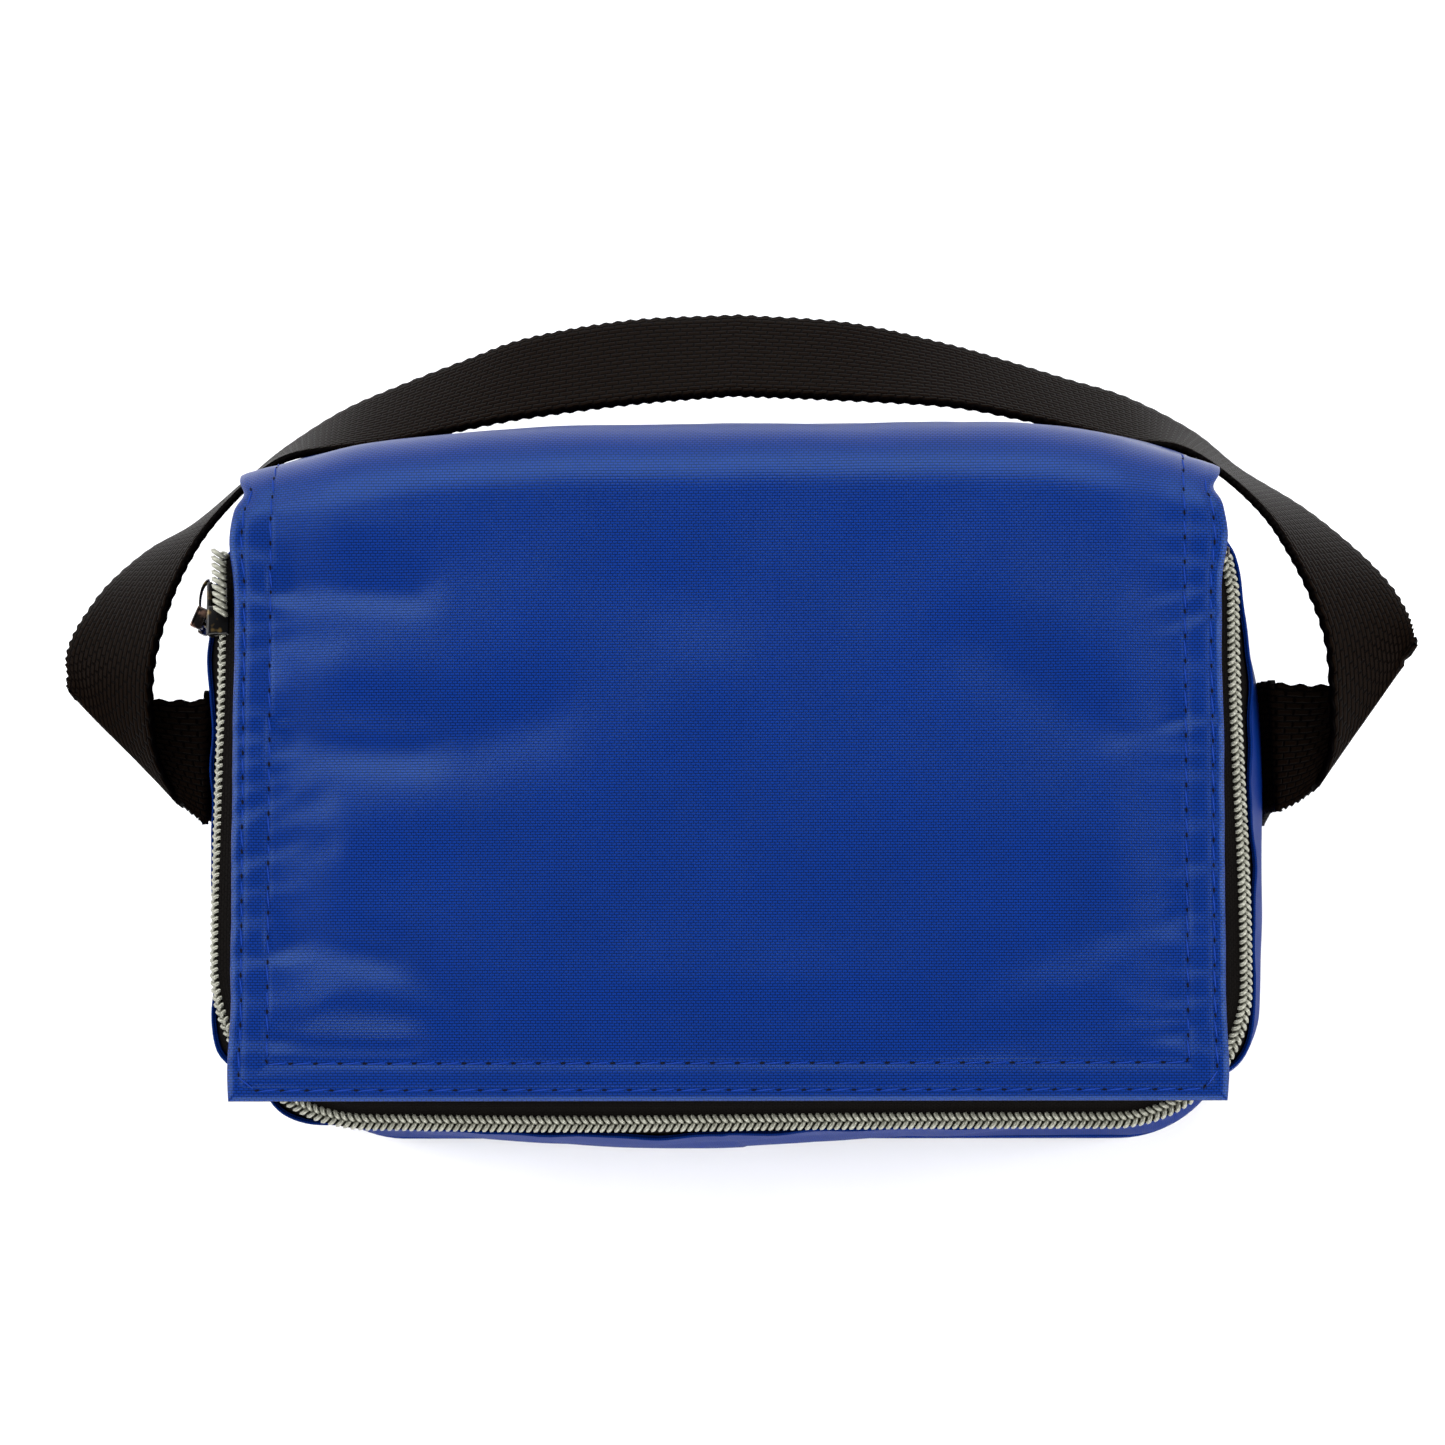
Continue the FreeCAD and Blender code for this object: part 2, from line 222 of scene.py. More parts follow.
def add_node(material, kind, settings=None, links=None, values=None):
    """Adds a node: its own settings, the outputs that feed its inputs, and its fixed inputs."""
    node = material.node_tree.nodes.new(kind)
    for key, value in (settings or {}).items():
        setattr(node, key, value)
    for key, value in (values or {}).items():
        node.inputs[key].default_value = value
    for key, output in (links or {}).items():
        material.node_tree.links.new(output, node.inputs[key])
    return node


def on_object(material, kind, values, settings=None):
    """A pattern of any kind laid on the piece's own place in metres."""
    place = add_node(material, "ShaderNodeTexCoord")
    return add_node(material, kind, settings, {"Vector": place.outputs["Object"]}, values).outputs


def dress(material, sockets, pattern=None, tones=(), relief=None):
    """Sets the shader's own values, colours it between two tones by a pattern, and adds its bump.

    A tone is a hex colour or another node's output.  relief is a height, its strength and its depth
    in metres.
    """
    links = material.node_tree.links
    shader = material.node_tree.nodes["Principled BSDF"]
    for socket, value in sockets.items():
        shader.inputs[socket].default_value = value
    if pattern is not None:
        fed, fixed = {"Factor": pattern}, {}
        for key, value in zip("AB", tones):
            if isinstance(value, str):
                fixed[key] = tone(value)
            else:
                fed[key] = value
        shade = add_node(material, "ShaderNodeMix", {"data_type": "RGBA"}, fed, fixed)
        links.new(shade.outputs["Result"], shader.inputs["Base Color"])
    if relief:
        height, strength, depth = relief
        bump = add_node(material, "ShaderNodeBump", None, {"Height": height},
                        {"Strength": strength, "Distance": depth})
        links.new(bump.outputs["Normal"], shader.inputs["Normal"])
    return material


def weave_nodes(material, thread_mm, row_mm, gap_mm):
    """Staggered threads on the cloth's own map, 1 on a thread and 0 in the gaps, and the map in mm."""
    place = add_node(material, "ShaderNodeTexCoord")
    to_mm = add_node(material, "ShaderNodeMapping", links={"Vector": place.outputs["UV"]},
                     values={"Scale": (1000, 1000, 1000)})
    threads = add_node(material, "ShaderNodeTexBrick", {"offset": 0.5, "offset_frequency": 2},
                       {"Vector": to_mm.outputs["Vector"]},
                       {"Scale": 1.0, "Brick Width": thread_mm, "Row Height": row_mm,
                        "Mortar Size": gap_mm, "Mortar Smooth": 1.0,
                        "Color1": (1, 1, 1, 1), "Color2": (0.72, 0.72, 0.72, 1), "Mortar": (0, 0, 0, 1)})
    return to_mm.outputs["Vector"], threads.outputs


def cover_cloth(name, roughness, gloss):
    """Polyester oxford with a clear coating: staggered threads, a low broad sheen, darker in the gaps."""
    material = new_material(name)
    to_mm, threads = weave_nodes(material, 1.04, 0.6, 0.17)
    patchy = add_node(material, "ShaderNodeTexNoise", None, {"Vector": to_mm},
                      {"Scale": 0.035, "Detail": 3.0, "Roughness": 0.6})
    shade = add_node(material, "ShaderNodeMix", {"data_type": "RGBA"}, {"Factor": patchy.outputs["Fac"]},
                     {"A": tone("#042367"), "B": tone("#052977")})
    sockets = {"Roughness": roughness, "Specular IOR Level": gloss, "Specular Tint": tone("#94C4FF")}
    return dress(material, sockets, threads["Fac"], (shade.outputs["Result"], "#010A2C"),
                 (threads["Color"], 0.6, 0.00005))


def woven_band(name, thread, row, gap, tones, roughness, strength, depth):
    """Black narrow fabric: rows of yarns with a dark gap between them, sizes in mm."""
    material = new_material(name)
    _, threads = weave_nodes(material, thread, row, gap)
    sockets = {"Roughness": roughness, "Specular IOR Level": 0.012}
    return dress(material, sockets, threads["Fac"], tones, (threads["Color"], strength, depth))


def coil_nylon():
    """Silver-grey nylon monofilament: smooth, with a soft shine and slight toning."""
    material = new_material("nylon_zip_coil")
    streak = on_object(material, "ShaderNodeTexNoise", {"Scale": 220.0, "Detail": 2.0})
    return dress(material, {"Roughness": 0.32, "Metallic": 0.25}, streak["Fac"], ("#6F6F64", "#98988C"))


def worn_metal(name, base, edge, roughness, metallic):
    """Plated or enamelled casting: fine pitting, and a brighter metal in patches where it has rubbed."""
    material = new_material(name)
    pits = on_object(material, "ShaderNodeTexNoise", {"Scale": 1500.0, "Detail": 3.0})
    rubs = on_object(material, "ShaderNodeTexNoise", {"Scale": 420.0, "Detail": 2.0})
    rubbed = add_node(material, "ShaderNodeMapRange", None, {"Value": rubs["Fac"]},
                      {"From Min": 0.60, "From Max": 0.72, "To Min": 0.0, "To Max": 0.7})
    return dress(material, {"Roughness": roughness, "Metallic": metallic}, rubbed.outputs["Result"],
                 (base, edge), (pits["Fac"], 0.15, 0.00005))


def lining_film():
    """Silver film bonded to cloth: crisp small creases and a satin shine."""
    material = new_material("silver_film_lining")
    crease = on_object(material, "ShaderNodeTexNoise", {"Scale": 90.0, "Detail": 5.0, "Distortion": 0.6})
    return dress(material, {"Roughness": 0.34, "Metallic": 0.55}, crease["Fac"], ("#7C8085", "#A2A6AA"),
                 (crease["Fac"], 0.5, 0.0006))


def foam_cells():
    """White closed-cell polyethylene foam: matt, with fine cells."""
    material = new_material("closed_cell_foam")
    cells = on_object(material, "ShaderNodeTexVoronoi", {"Scale": 900.0})
    return dress(material, {"Roughness": 0.9}, cells["Distance"], ("#E9E8E2", "#CFCEC6"),
                 (cells["Distance"], 0.4, 0.0002))


def thread_nylon(name, base):
    """Bonded sewing thread: two plies twisted, a little sheen."""
    material = new_material(name)
    plies = on_object(material, "ShaderNodeTexWave", {"Scale": 500.0}, {"bands_direction": "DIAGONAL"})
    sockets = {"Base Color": tone(base), "Roughness": 0.6, "Specular IOR Level": 0.08}
    return dress(material, sockets, relief=(plies["Fac"], 0.4, 0.0001))


def studio_floor():
    """Matt white paper sweep."""
    material = new_material("white_paper")
    grain = on_object(material, "ShaderNodeTexNoise", {"Scale": 40.0})
    return dress(material, {"Roughness": 0.95, "Specular IOR Level": 0.1}, grain["Fac"],
                 ("#F7F7F7", "#FBFBFB"))


COVER = cover_cloth("coated_oxford_polyester", 0.38, 0.35)
WALL_COVER = cover_cloth("coated_oxford_walls", 0.60, 0.05)    # the walls' cloth is scuffed and duller
# fat glossy polypropylene yarns that catch small glints, and fine nearly matt polyester ribs
WEBBING = woven_band("polypropylene_webbing", 2.9, 1.45, 0.4, ("#0D0704", "#020101"), 0.42, 0.7, 0.0004)
TAPE = woven_band("polyester_zip_tape", 1.2, 0.6, 0.12, ("#0B0908", "#040303"), 0.6, 0.6, 0.0002)
COIL = coil_nylon()
ENAMEL = worn_metal("black_enamelled_zinc", "#0B0B0C", "#6E5A34", 0.28, 0.4)
PLATED = worn_metal("dark_nickel_plate", "#2C2827", "#B08A78", 0.25, 0.9)
GILT = worn_metal("gilt_rubbed_enamel", "#1A1714", "#A8925A", 0.25, 0.8)
LINING = lining_film()
FOAM = foam_cells()
BLUE_THREAD = thread_nylon("blue_polyester_thread", "#0E3080")
BLACK_THREAD = thread_nylon("black_polyester_thread", "#0C0C0C")
# painted shade: near-black flecks on the lid where the thread dives into its needle holes
NEEDLE_HOLE_SHADE = thread_nylon("shadowed_needle_hole", "#010414")

# --- camera, lights and floor ----------------------------------------------------------------
CAMERA_PLACE = Vector((0.070, -0.100, TOP_Z + 1.2))
CAMERA_AIM = Vector((-0.0006, 0.0087, TOP_Z))
PICTURE_WIDTH = 0.3141    # what the picture spans at the lid


def set_camera():
    away = CAMERA_PLACE - CAMERA_AIM
    z_axis = away.normalized()
    x_axis = Vector((0, 1, 0)).cross(z_axis).normalized()
    y_axis = z_axis.cross(x_axis)
    data = bpy.data.cameras.new("camera")
    data.sensor_width = 36.0
    data.lens = data.sensor_width * away.length / PICTURE_WIDTH
    camera = bpy.data.objects.new("camera", data)
    turn = Matrix((x_axis, y_axis, z_axis)).transposed().to_4x4()
    camera.matrix_world = Matrix.Translation(CAMERA_PLACE) @ turn
    bpy.context.collection.objects.link(camera)
    bpy.context.scene.camera = camera


def softbox(name, place, aim, size, power):
    data = bpy.data.lights.new(name, "AREA")
    data.shape = "RECTANGLE"
    data.size, data.size_y = size
    data.energy = power
    light = bpy.data.objects.new(name, data)
    light.location = place
    light.rotation_euler = (Vector(aim) - Vector(place)).to_track_quat("-Z", "Y").to_euler()
    bpy.context.collection.objects.link(light)


def set_studio():
    softbox("back_box", (-0.15, 1.40, 1.45), (0, 0, 0.1), (2.4, 0.9), 46)
    softbox("left_box", (-1.7, 0.3, 1.0), (0, 0, 0.1), (1.0, 1.4), 30)
    softbox("right_box", (1.7, -0.1, 1.0), (0, 0, 0.1), (1.0, 1.4), 32)
    softbox("front_box", (0.1, -1.8, 0.9), (0, 0, 0.1), (2.0, 0.8), 40)
    world = bpy.data.worlds.new("studio")
    world.use_nodes = True
    background = world.node_tree.nodes["Background"]
    background.inputs["Strength"].default_value = 1.0
    sky = add_node(world, "ShaderNodeTexCoord")
    height = add_node(world, "ShaderNodeSeparateXYZ", None, {"Vector": sky.outputs["Generated"]})
    fade = add_node(world, "ShaderNodeMapRange", {"interpolation_type": "SMOOTHSTEP"},
                    {"Value": height.outputs["Z"]},
                    {"From Min": 0.30, "From Max": 0.72, "To Min": 1.0, "To Max": 0.04})
    world.node_tree.links.new(fade.outputs["Result"], background.inputs["Color"])
    bpy.context.scene.world = world
    bpy.context.scene.view_settings.view_transform = "Standard"


def lay_floor():
    floor = fresh(bpy.ops.mesh.primitive_plane_add, size=8.0, location=(0, 0, -0.2 * MM))
    floor.name = "paper_floor"
    floor.data.materials.append(studio_floor())


# --- body cover ------------------------------------------------------------------------------
SOFT_CORNER = 27.0
REAR_CORNER = 33.0
YOKE_Y = FOLD_Y / MM - 2.0


def outline(count, half_width, half_depth, front_corner, rear_corner):
    """Points and outward normals on a rounded rectangle, anticlockwise from the middle of the front."""
    fx, fy = half_width - front_corner, half_depth - front_corner
    rx, ry = half_width - rear_corner, half_depth - rear_corner
    front_arc, rear_arc = front_corner * math.pi / 2, rear_corner * math.pi / 2
    lengths = [fx, front_arc, fy + ry, rear_arc, 2 * rx, rear_arc, fy + ry, front_arc, fx]
    starts = np.concatenate([[0], np.cumsum(lengths)])
    centres = [(0, -fy), (fx, -fy), (fx, -fy), (rx, ry), (rx, ry),
               (-rx, ry), (-rx, ry), (-fx, -fy), (-fx, -fy)]
    turns = [-90, -90, 0, 0, 90, 90, 180, 180, 270]
    corners = [front_corner] * 3 + [rear_corner] * 4 + [front_corner] * 2
    spots = []
    for distance in np.arange(count) / count * starts[-1]:
        k = int(np.searchsorted(starts, distance, side="right")) - 1
        rest = distance - starts[k]
        radius = corners[k]
        angle = math.radians(turns[k]) + (rest / radius if k % 2 else 0)
        nx, ny = math.cos(angle), math.sin(angle)
        run = 0 if k % 2 else rest
        spots.append((centres[k][0] + radius * nx - ny * run, centres[k][1] + radius * ny + nx * run, nx, ny))
    return np.array(spots), starts[-1]


def wall_swell(x, y, nx, ny, z):
    """How far the filled bag's wall stands out from its outline, in mm."""
    front = smooth_step(0.6, 0.95, -ny)
    back = smooth_step(0.6, 0.95, ny)
    side = smooth_step(0.6, 0.95, np.abs(nx))
    foot = smooth_step(0, 45, z)
    front_out = -2.4 + 5.5 * np.exp(-((x + 20) / 57) ** 2) + 1.2 * np.exp(-((x - 48) / 14) ** 2)
    front_out = front_out * foot * (1 - 0.3 * smooth_step(112, 140, z))
    side_out = np.maximum(4.4 * (1 - ((y + 18) / 66) ** 2), -3.4)
    side_out = np.where(side_out > 0, side_out * foot * (1 - 0.85 * smooth_step(90, 138, z)), side_out * foot)
    back_out = 1.6 * (1 - (x / 85) ** 2) * foot * (1 - smooth_step(80, 120, z))
    tuck = np.where(x < 0, 5.4, 4.6) * smooth_step(0.05, 0.4, -ny)
    corner = -(1.0 + tuck) * foot * (1 - front - back - side)
    drawn = np.where(x < 0, 4.8 * smooth_step(32, 56, y), 3.6 * smooth_step(16, 56, y))
    drawn = drawn * smooth_step(0.05, 0.5, np.abs(nx)) * foot
    low_corner = 2.4 * (1 - smooth_step(70, 132, z)) * smooth_step(58, 88, np.abs(x)) * foot
    low_corner = low_corner * smooth_step(0.05, 0.4, -ny)
    return front * front_out + side * side_out + back * back_out + corner - drawn - low_corner


def top_lean(x, ny, z):
    """How far the back of the wall leans in under the lid's roll, in mm."""
    return (5.6 + 5.4 * np.abs(x / 108) ** 3.2) * smooth_step(88, 134, z) * smooth_step(0.0, 0.8, ny)


def wall_folds(along, z):
    """Soft unevenness of a foam-backed wall, in mm: broad waves, small waves and gathers under the rim."""
    gathers = np.exp(-(RIM_Z / MM - z) / 11) * wander(3, along / 21, z / 90, octaves=2)
    broad = wander(5, along / 130, z / 75)
    small = wander(8, along / 44, z / 38, octaves=2)
    quiet = smooth_step(0, 14, z)
    return quiet * (1.0 * broad + 0.5 * small) + 0.55 * gathers


def shell_points(columns, inset, heights, folds=1.0):
    """The wall as rows by columns of points in mm, with the cloth's own flat places."""
    spots, length = outline(columns, HALF_WIDTH / MM, HALF_DEPTH / MM, SOFT_CORNER, REAR_CORNER)
    x, y, nx, ny = spots.T
    along = np.arange(columns) / columns * length
    z = np.asarray(heights)[:, None]
    out = wall_swell(x, y, nx, ny, z) + folds * wall_folds(along, z) - inset
    out = out - 3.4 * np.clip(1 - z / 7.5, 0, 1) ** 2
    lean = top_lean(x, ny, z)
    return np.stack([x + nx * out, y + ny * out - lean, z + 0 * x], axis=2), along, length, (x, y, nx, ny)


def floor_rings(wall_foot, shares):
    """Copies of a wall's lowest row drawn in towards the middle, for a tub's floor."""
    rings = np.array([wall_foot] * len(shares))
    rings[:, :, :2] *= np.array(shares)[:, None, None]
    return rings


def body_shell():
    columns = 520
    heights = np.concatenate([[0.3, 0.9, 2.0, 3.6, 5.6], np.arange(8, 133, 2.0),
                              [134, 135.4, 136.6, 137.5, 138.0]])
    walls, along, length, (x, y, nx, ny) = shell_points(columns, 0.0, heights)
    rear = smooth_step(YOKE_Y, YOKE_Y + 9, y)
    top = []
    for t in np.linspace(0.2, 1, 5):
        inward = (4.5 + 2.5 * np.abs(nx)) * t ** 1.5 * rear + 0.9 * np.sin(math.pi * t / 2) * (1 - rear)
        up = 8.6 * t ** 0.8 * rear + (0.35 * math.sin(math.pi * t) - 4.0 * t * t) * (1 - rear)
        rim = walls[-1]
        top.append(np.stack([rim[:, 0] - nx * inward, rim[:, 1] - ny * inward, rim[:, 2] + up], axis=1))
    bottom = floor_rings(walls[0], (0.0, 0.35, 0.7, 0.9, 0.975))
    bottom[:, :, 2] = 0.3
    points = np.concatenate([bottom, walls, np.array(top)])
    rows = len(points)
    flat = np.concatenate([-np.array([70, 45, 20, 7, 2.0]), heights, 138 + np.linspace(1.8, 9, 5)])
    uv = np.zeros((rows, columns + 1, 2))
    uv[:, :, 0] = np.append(along, length) * MM
    uv[:, :, 1] = flat[:, None] * MM
    for r in range(len(bottom)):
        uv[r, :-1] = points[r, :, :2] * MM
        uv[r, -1] = uv[r, 0]
    shell = sheet_mesh("body_cover", points * MM, uv, closed=True)
    weld(shell)
    thicken(shell, COVER_THICK)
    finish_piece(shell, "bag", WALL_COVER,
                 ("front_panel", "back_panel", "left_panel", "right_panel", "base_panel"))
    return shell


def weld(piece):
    """Merges points that lie on each other."""
    mesh = bmesh.new()
    mesh.from_mesh(piece.data)
    bmesh.ops.remove_doubles(mesh, verts=mesh.verts, dist=SEAM_MERGE)
    mesh.to_mesh(piece.data)
    mesh.free()


def base_seam():
    """Corded seam round the foot of the bag."""
    spots, length = outline(360, HALF_WIDTH / MM - 0.9, HALF_DEPTH / MM - 0.9, SOFT_CORNER, REAR_CORNER)
    rings = []
    for k in range(6):
        angle = 2 * math.pi * k / 6
        out, up = 1.1 * math.cos(angle), 1.1 * math.sin(angle)
        rings.append(np.stack([spots[:, 0] + spots[:, 2] * out, spots[:, 1] + spots[:, 3] * out,
                               np.full(len(spots), 3.6 + up)], axis=1))
    points = np.array(rings + rings[:1])
    uv = np.zeros((7, 361, 2))
    uv[:, :, 0] = np.arange(361) / 360 * length * MM
    uv[:, :, 1] = np.arange(7)[:, None] * 1.15 * MM
    seam = sheet_mesh("base_seam", points * MM, uv, closed=True)
    weld(seam)
    return finish_piece(seam, "bag", WALL_COVER)


# --- lid cover -------------------------------------------------------------------------------
LID_X = LID_HALF / MM
LID_Y = LID_FRONT / MM
BACK_Y = 75.7
EAR_DROP = 9.9
ROLL = 15.0
ROLL_LENGTH = ROLL * math.pi / 2
ROWS_IN = (2.4, 8.2)
HOOD_LOW = 122.0

# sunk lines in the padded lid: x, y of each end, depth and half width, all mm
LID_CREASES = [
    ((-110, 6), (-62, 3), 2.0, 6.0), ((-62, 3), (-34, 12), 1.2, 7.5), ((-110, 41), (-64, 37), 1.5, 4.6),
    ((-110, -34), (-70, -43), 1.5, 4.6), ((-70, -43), (-52, -55), 0.9, 5.0),
    ((-110, -60), (-66, -61), 1.0, 4.0), ((-110, 24), (-84, 27), 0.5, 4.0),
    ((-110, -12), (-86, -8), 0.7, 3.6), ((-110, -22), (-84, -17), 0.8, 3.6),
    ((110, 11), (82, 6), 1.1, 4.2), ((82, 6), (50, 29), 0.9, 7.5), ((110, -31), (80, -37), 1.0, 4.6),
    ((80, -37), (46, -52), 0.8, 7.0), ((110, 38), (88, 35), 0.5, 3.4), ((110, -50), (84, -49), 0.6, 3.6),
    ((110, -61), (86, -58), 0.7, 3.2), ((-4, -8), (18, -44), 0.5, 9.0), ((-30, 40), (10, 30), 0.6, 10.0),
]
# raised soft places: x, y, half length, half width, turn in degrees, height
LID_PUFFS = [
    (-86, 21, 24, 8, -4, 1.3), (-78, -13, 32, 9, 8, 1.0), (-86, 52, 24, 6, 0, 0.8),
    (-84, -52, 24, 5, -8, 0.9), (-48, 32, 20, 13, 18, 0.7), (-10, 12, 26, 12, 35, 0.7),
    (-38, -26, 15, 24, 10, 0.6), (26, -6, 15, 26, -18, 0.6), (66, -14, 26, 12, -22, 0.7),
    (76, 28, 22, 11, -30, 0.8), (66, -58, 34, 8, 16, 0.5), (6, -48, 30, 12, 0, 0.5),
]
# small gathers across the two stitched rows: y at the edge, lean, depth
LEFT_GATHERS = [
    (58, 1, .3), (49, -2, .4), (38.8, -1, .6), (30.7, 1, .3), (24.5, 2, .35), (12.8, 0, .3), (6.4, 1, .6),
    (1.2, 2, .4), (-4.7, 2, .4), (-11.5, 4, .5), (-21.8, 3, .5), (-27, 1, .3), (-33.4, 1, .4),
    (-42.3, 1, .6), (-50, 0, .3), (-59.8, 0, .5), (-66, 0, .2),
]
RIGHT_GATHERS = [
    (52, 0, .3), (44, 1, .3), (38.8, -1, .4), (34.5, -3, .5), (22, 0, .25), (10.5, -1, .5), (4, 0, .3),
    (-1.5, 0, .35), (-11.6, -1, .3), (-21.3, -1, .4), (-33, 0, .5), (-37.8, 1, .4), (-44.5, 0, .5),
    (-50, -1, .5), (-56, -1, .5), (-61, 1, .5),
]


def near_line(x, y, start, end, half_width):
    """1 on a line from start to end, falling away to each side and at its ends."""
    sx, sy = start
    dx, dy = end[0] - sx, end[1] - sy
    length = math.hypot(dx, dy)
    along = ((x - sx) * dx + (y - sy) * dy) / length
    across = (-(x - sx) * dy + (y - sy) * dx) / length
    ends = smooth_step(-half_width, half_width, along) * smooth_step(-half_width, half_width, length - along)
    return np.exp(-(across / half_width) ** 2) * ends


def lid_relief(x, y):
    """Height of the lid's face over its flat, in mm: filling, stitched valleys, creases and gathers."""
    side_in = LID_X - np.abs(x)
    front_in = y - LID_Y
    edge = np.minimum(side_in, front_in)
    height = 2.3 * smooth_step(7.5, 27, edge) - 1.0 * np.clip(1 - edge / 2.2, 0, 1) ** 2
    hem = smooth_step(ROWS_IN[0] + 0.2, 4.6, edge) * (1 - smooth_step(5.6, ROWS_IN[1], edge))
    height = height + 0.22 * hem
    for row in ROWS_IN:
        height = height - 0.22 * np.exp(-((edge - row) / 0.7) ** 2)
    inside = smooth_step(6.0, 13, edge)
    for start, end, depth, half_width in LID_CREASES:
        height = height - depth * inside * near_line(x, y, start, end, half_width)
    for px, py, long, wide, turn, rise in LID_PUFFS:
        c, s = math.cos(math.radians(turn)), math.sin(math.radians(turn))
        u, v = (x - px) * c + (y - py) * s, -(x - px) * s + (y - py) * c
        height = height + rise * inside * np.exp(-(u / long) ** 2 - (v / wide) ** 2)
    for sign, gathers in ((-1, LEFT_GATHERS), (1, RIGHT_GATHERS)):
        inward = LID_X - sign * x
        reach = smooth_step(-1, 1.5, inward) * (1 - smooth_step(10, 21, inward))
        for gy, lean, depth in gathers:
            centre = gy + lean * inward / 8
            height = height - depth * reach * np.exp(-((y - centre) / 1.9) ** 2)
            height = height + 0.45 * depth * reach * np.exp(-((y - centre + 3.4) / 2.0) ** 2)
    low = 1 - smooth_step(7, 15, front_in)
    height = height + 0.16 * low * smooth_step(3, 5, front_in) * wander(21, x / 17, y / 60, octaves=2)
    height = height + 0.5 * inside * wander(12, x / 95, y / 75)
    return height + 0.12 * inside * wander(15, x / 24, y / 24, octaves=2)


def lid_edge_shift(x, y):
    """Sideways wander of the cut edge near each side, with the ear at the back."""
    sign = np.sign(x)
    weight = np.clip((np.abs(x) - 97) / 11, 0, 1) ** 2
    bulge = 1.2 * np.exp(-((y - 49) / 6) ** 2) - 1.7 * np.exp(-((y - 60) / 2.4) ** 2)
    bulge = bulge + 0.5 * np.exp(-((y + 66) / 9) ** 2) - 0.3 * np.exp(-((y - 28) / 14) ** 2)
    bulge = bulge + 0.18 * wander(31, y / 23, x / 400, octaves=2)
    return sign * weight * bulge


def lid_back(x):
    """y of the rolled back edge."""
    return BACK_Y - EAR_DROP * np.abs(x / LID_X) ** 3.2 + 1.7 * np.exp(-((x - 72) / 26) ** 2)


def lid_face(x, v):
    """Point in mm on the lid's outer face; v runs from the front edge back, over the roll and down."""
    back = lid_back(x)
    flat = back - ROLL - LID_Y
    over = np.clip(v - flat, 0, None)
    turn = np.clip(over / ROLL_LENGTH, 0, 1) * math.pi / 2
    down = np.clip(over - ROLL_LENGTH, 0, None)
    y = LID_Y + np.minimum(v, flat) + ROLL * np.sin(turn) + 0.2 * down
    z = TOP_Z / MM - ROLL * (1 - np.cos(turn)) - down
    relief = lid_relief(x, np.minimum(y, back - 4))
    ease = np.clip(1 - over / (ROLL_LENGTH * 1.1), 0, 1)
    relief = relief * ease + (1 - ease) * 0.35 * wander(41, x / 38, v / 30, octaves=2)
    y = y + relief * np.sin(turn)
    z = z + relief * np.cos(turn)
    return np.stack([x + lid_edge_shift(x, y), y, z], axis=-1)


def lid_length(x):
    """How long the sheet is at x: to the hood's hem behind, and short at the ears."""
    whole = lid_back(x) - ROLL - LID_Y + ROLL_LENGTH + (TOP_Z / MM - ROLL - HOOD_LOW)
    short = lid_back(x) - ROLL - LID_Y + 0.85 * ROLL_LENGTH
    return short + (whole - short) * (1 - smooth_step(95, 107, np.abs(x)))


def lid_sheet():
    fine = np.concatenate([[0, 0.3, 0.8], np.arange(1.3, 10.2, 0.45)])
    x = np.concatenate([-LID_X + fine, np.arange(-LID_X + 11, LID_X - 10.9, 1.55), (LID_X - fine)[::-1]])
    steps = np.concatenate([fine, np.arange(11, 131, 1.5)])
    rest = np.linspace(0, 1, 34)[1:]
    v = np.zeros((len(steps) + len(rest), len(x)))
    v[:len(steps)] = steps[:, None] * np.minimum(1, (lid_length(x) - 12) / steps[-1])
    v[len(steps):] = v[len(steps) - 1] + rest[:, None] * (lid_length(x) - v[len(steps) - 1])
    points = lid_face(np.broadcast_to(x, v.shape), v)
    uv = np.stack([np.broadcast_to(x, v.shape), v], axis=2) * MM
    sheet = sheet_mesh("lid_cover_sheet", points * MM, uv)
    thicken(sheet, LID_THICK)
    finish_piece(sheet, None, COVER, ("lid_cover", "rear_strip_cover"))
    blend_at_fold(sheet)


def blend_at_fold(piece):
    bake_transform(piece)


def surface_frame(x, v):
    """Place, direction along v, direction along x, and upward normal on the lid's face."""
    place = lid_face(x, v)
    along = lid_face(x, v + 0.3) - lid_face(x, v - 0.3)
    across = lid_face(x + 0.3, v) - lid_face(x - 0.3, v)
    along /= np.linalg.norm(along, axis=-1, keepdims=True)
    across /= np.linalg.norm(across, axis=-1, keepdims=True)
    up = np.cross(across, along)
    return place, along, across, up / np.linalg.norm(up, axis=-1, keepdims=True)


def stitch_route(row, corner):
    """x and v along a stitched row: down the right side, across the front, up the left side."""
    side = LID_X - row
    top = float(lid_length(np.array(side))) - (9 if row < 5 else 2.5)
    right = [(side, v) for v in np.arange(top, row + corner, -0.5)]
    front = [(x, row) for x in np.arange(side - corner, -side + corner, -0.5)]
    left = [(-side, v) for v in np.arange(row + corner, top, 0.5)]
    return np.array(right + front + left)


def distances(line):
    """How far along a line each of its points is."""
    return np.concatenate([[0], np.cumsum(np.linalg.norm(np.diff(line, axis=0), axis=1))])


def read_off(marks, reach, rows):
    """The rows' values where the distance reach has the given marks."""
    return np.stack([np.interp(marks, reach, column) for column in rows.T], axis=1)


def spaced(route, step):
    """Points at an even step along a route, with the direction there."""
    reach = distances(route)
    marks = np.arange(step / 2, reach[-1], step)
    way = read_off(marks + 0.4, reach, route) - read_off(marks - 0.4, reach, route)
    return read_off(marks, reach, route), way / np.linalg.norm(way, axis=1, keepdims=True)


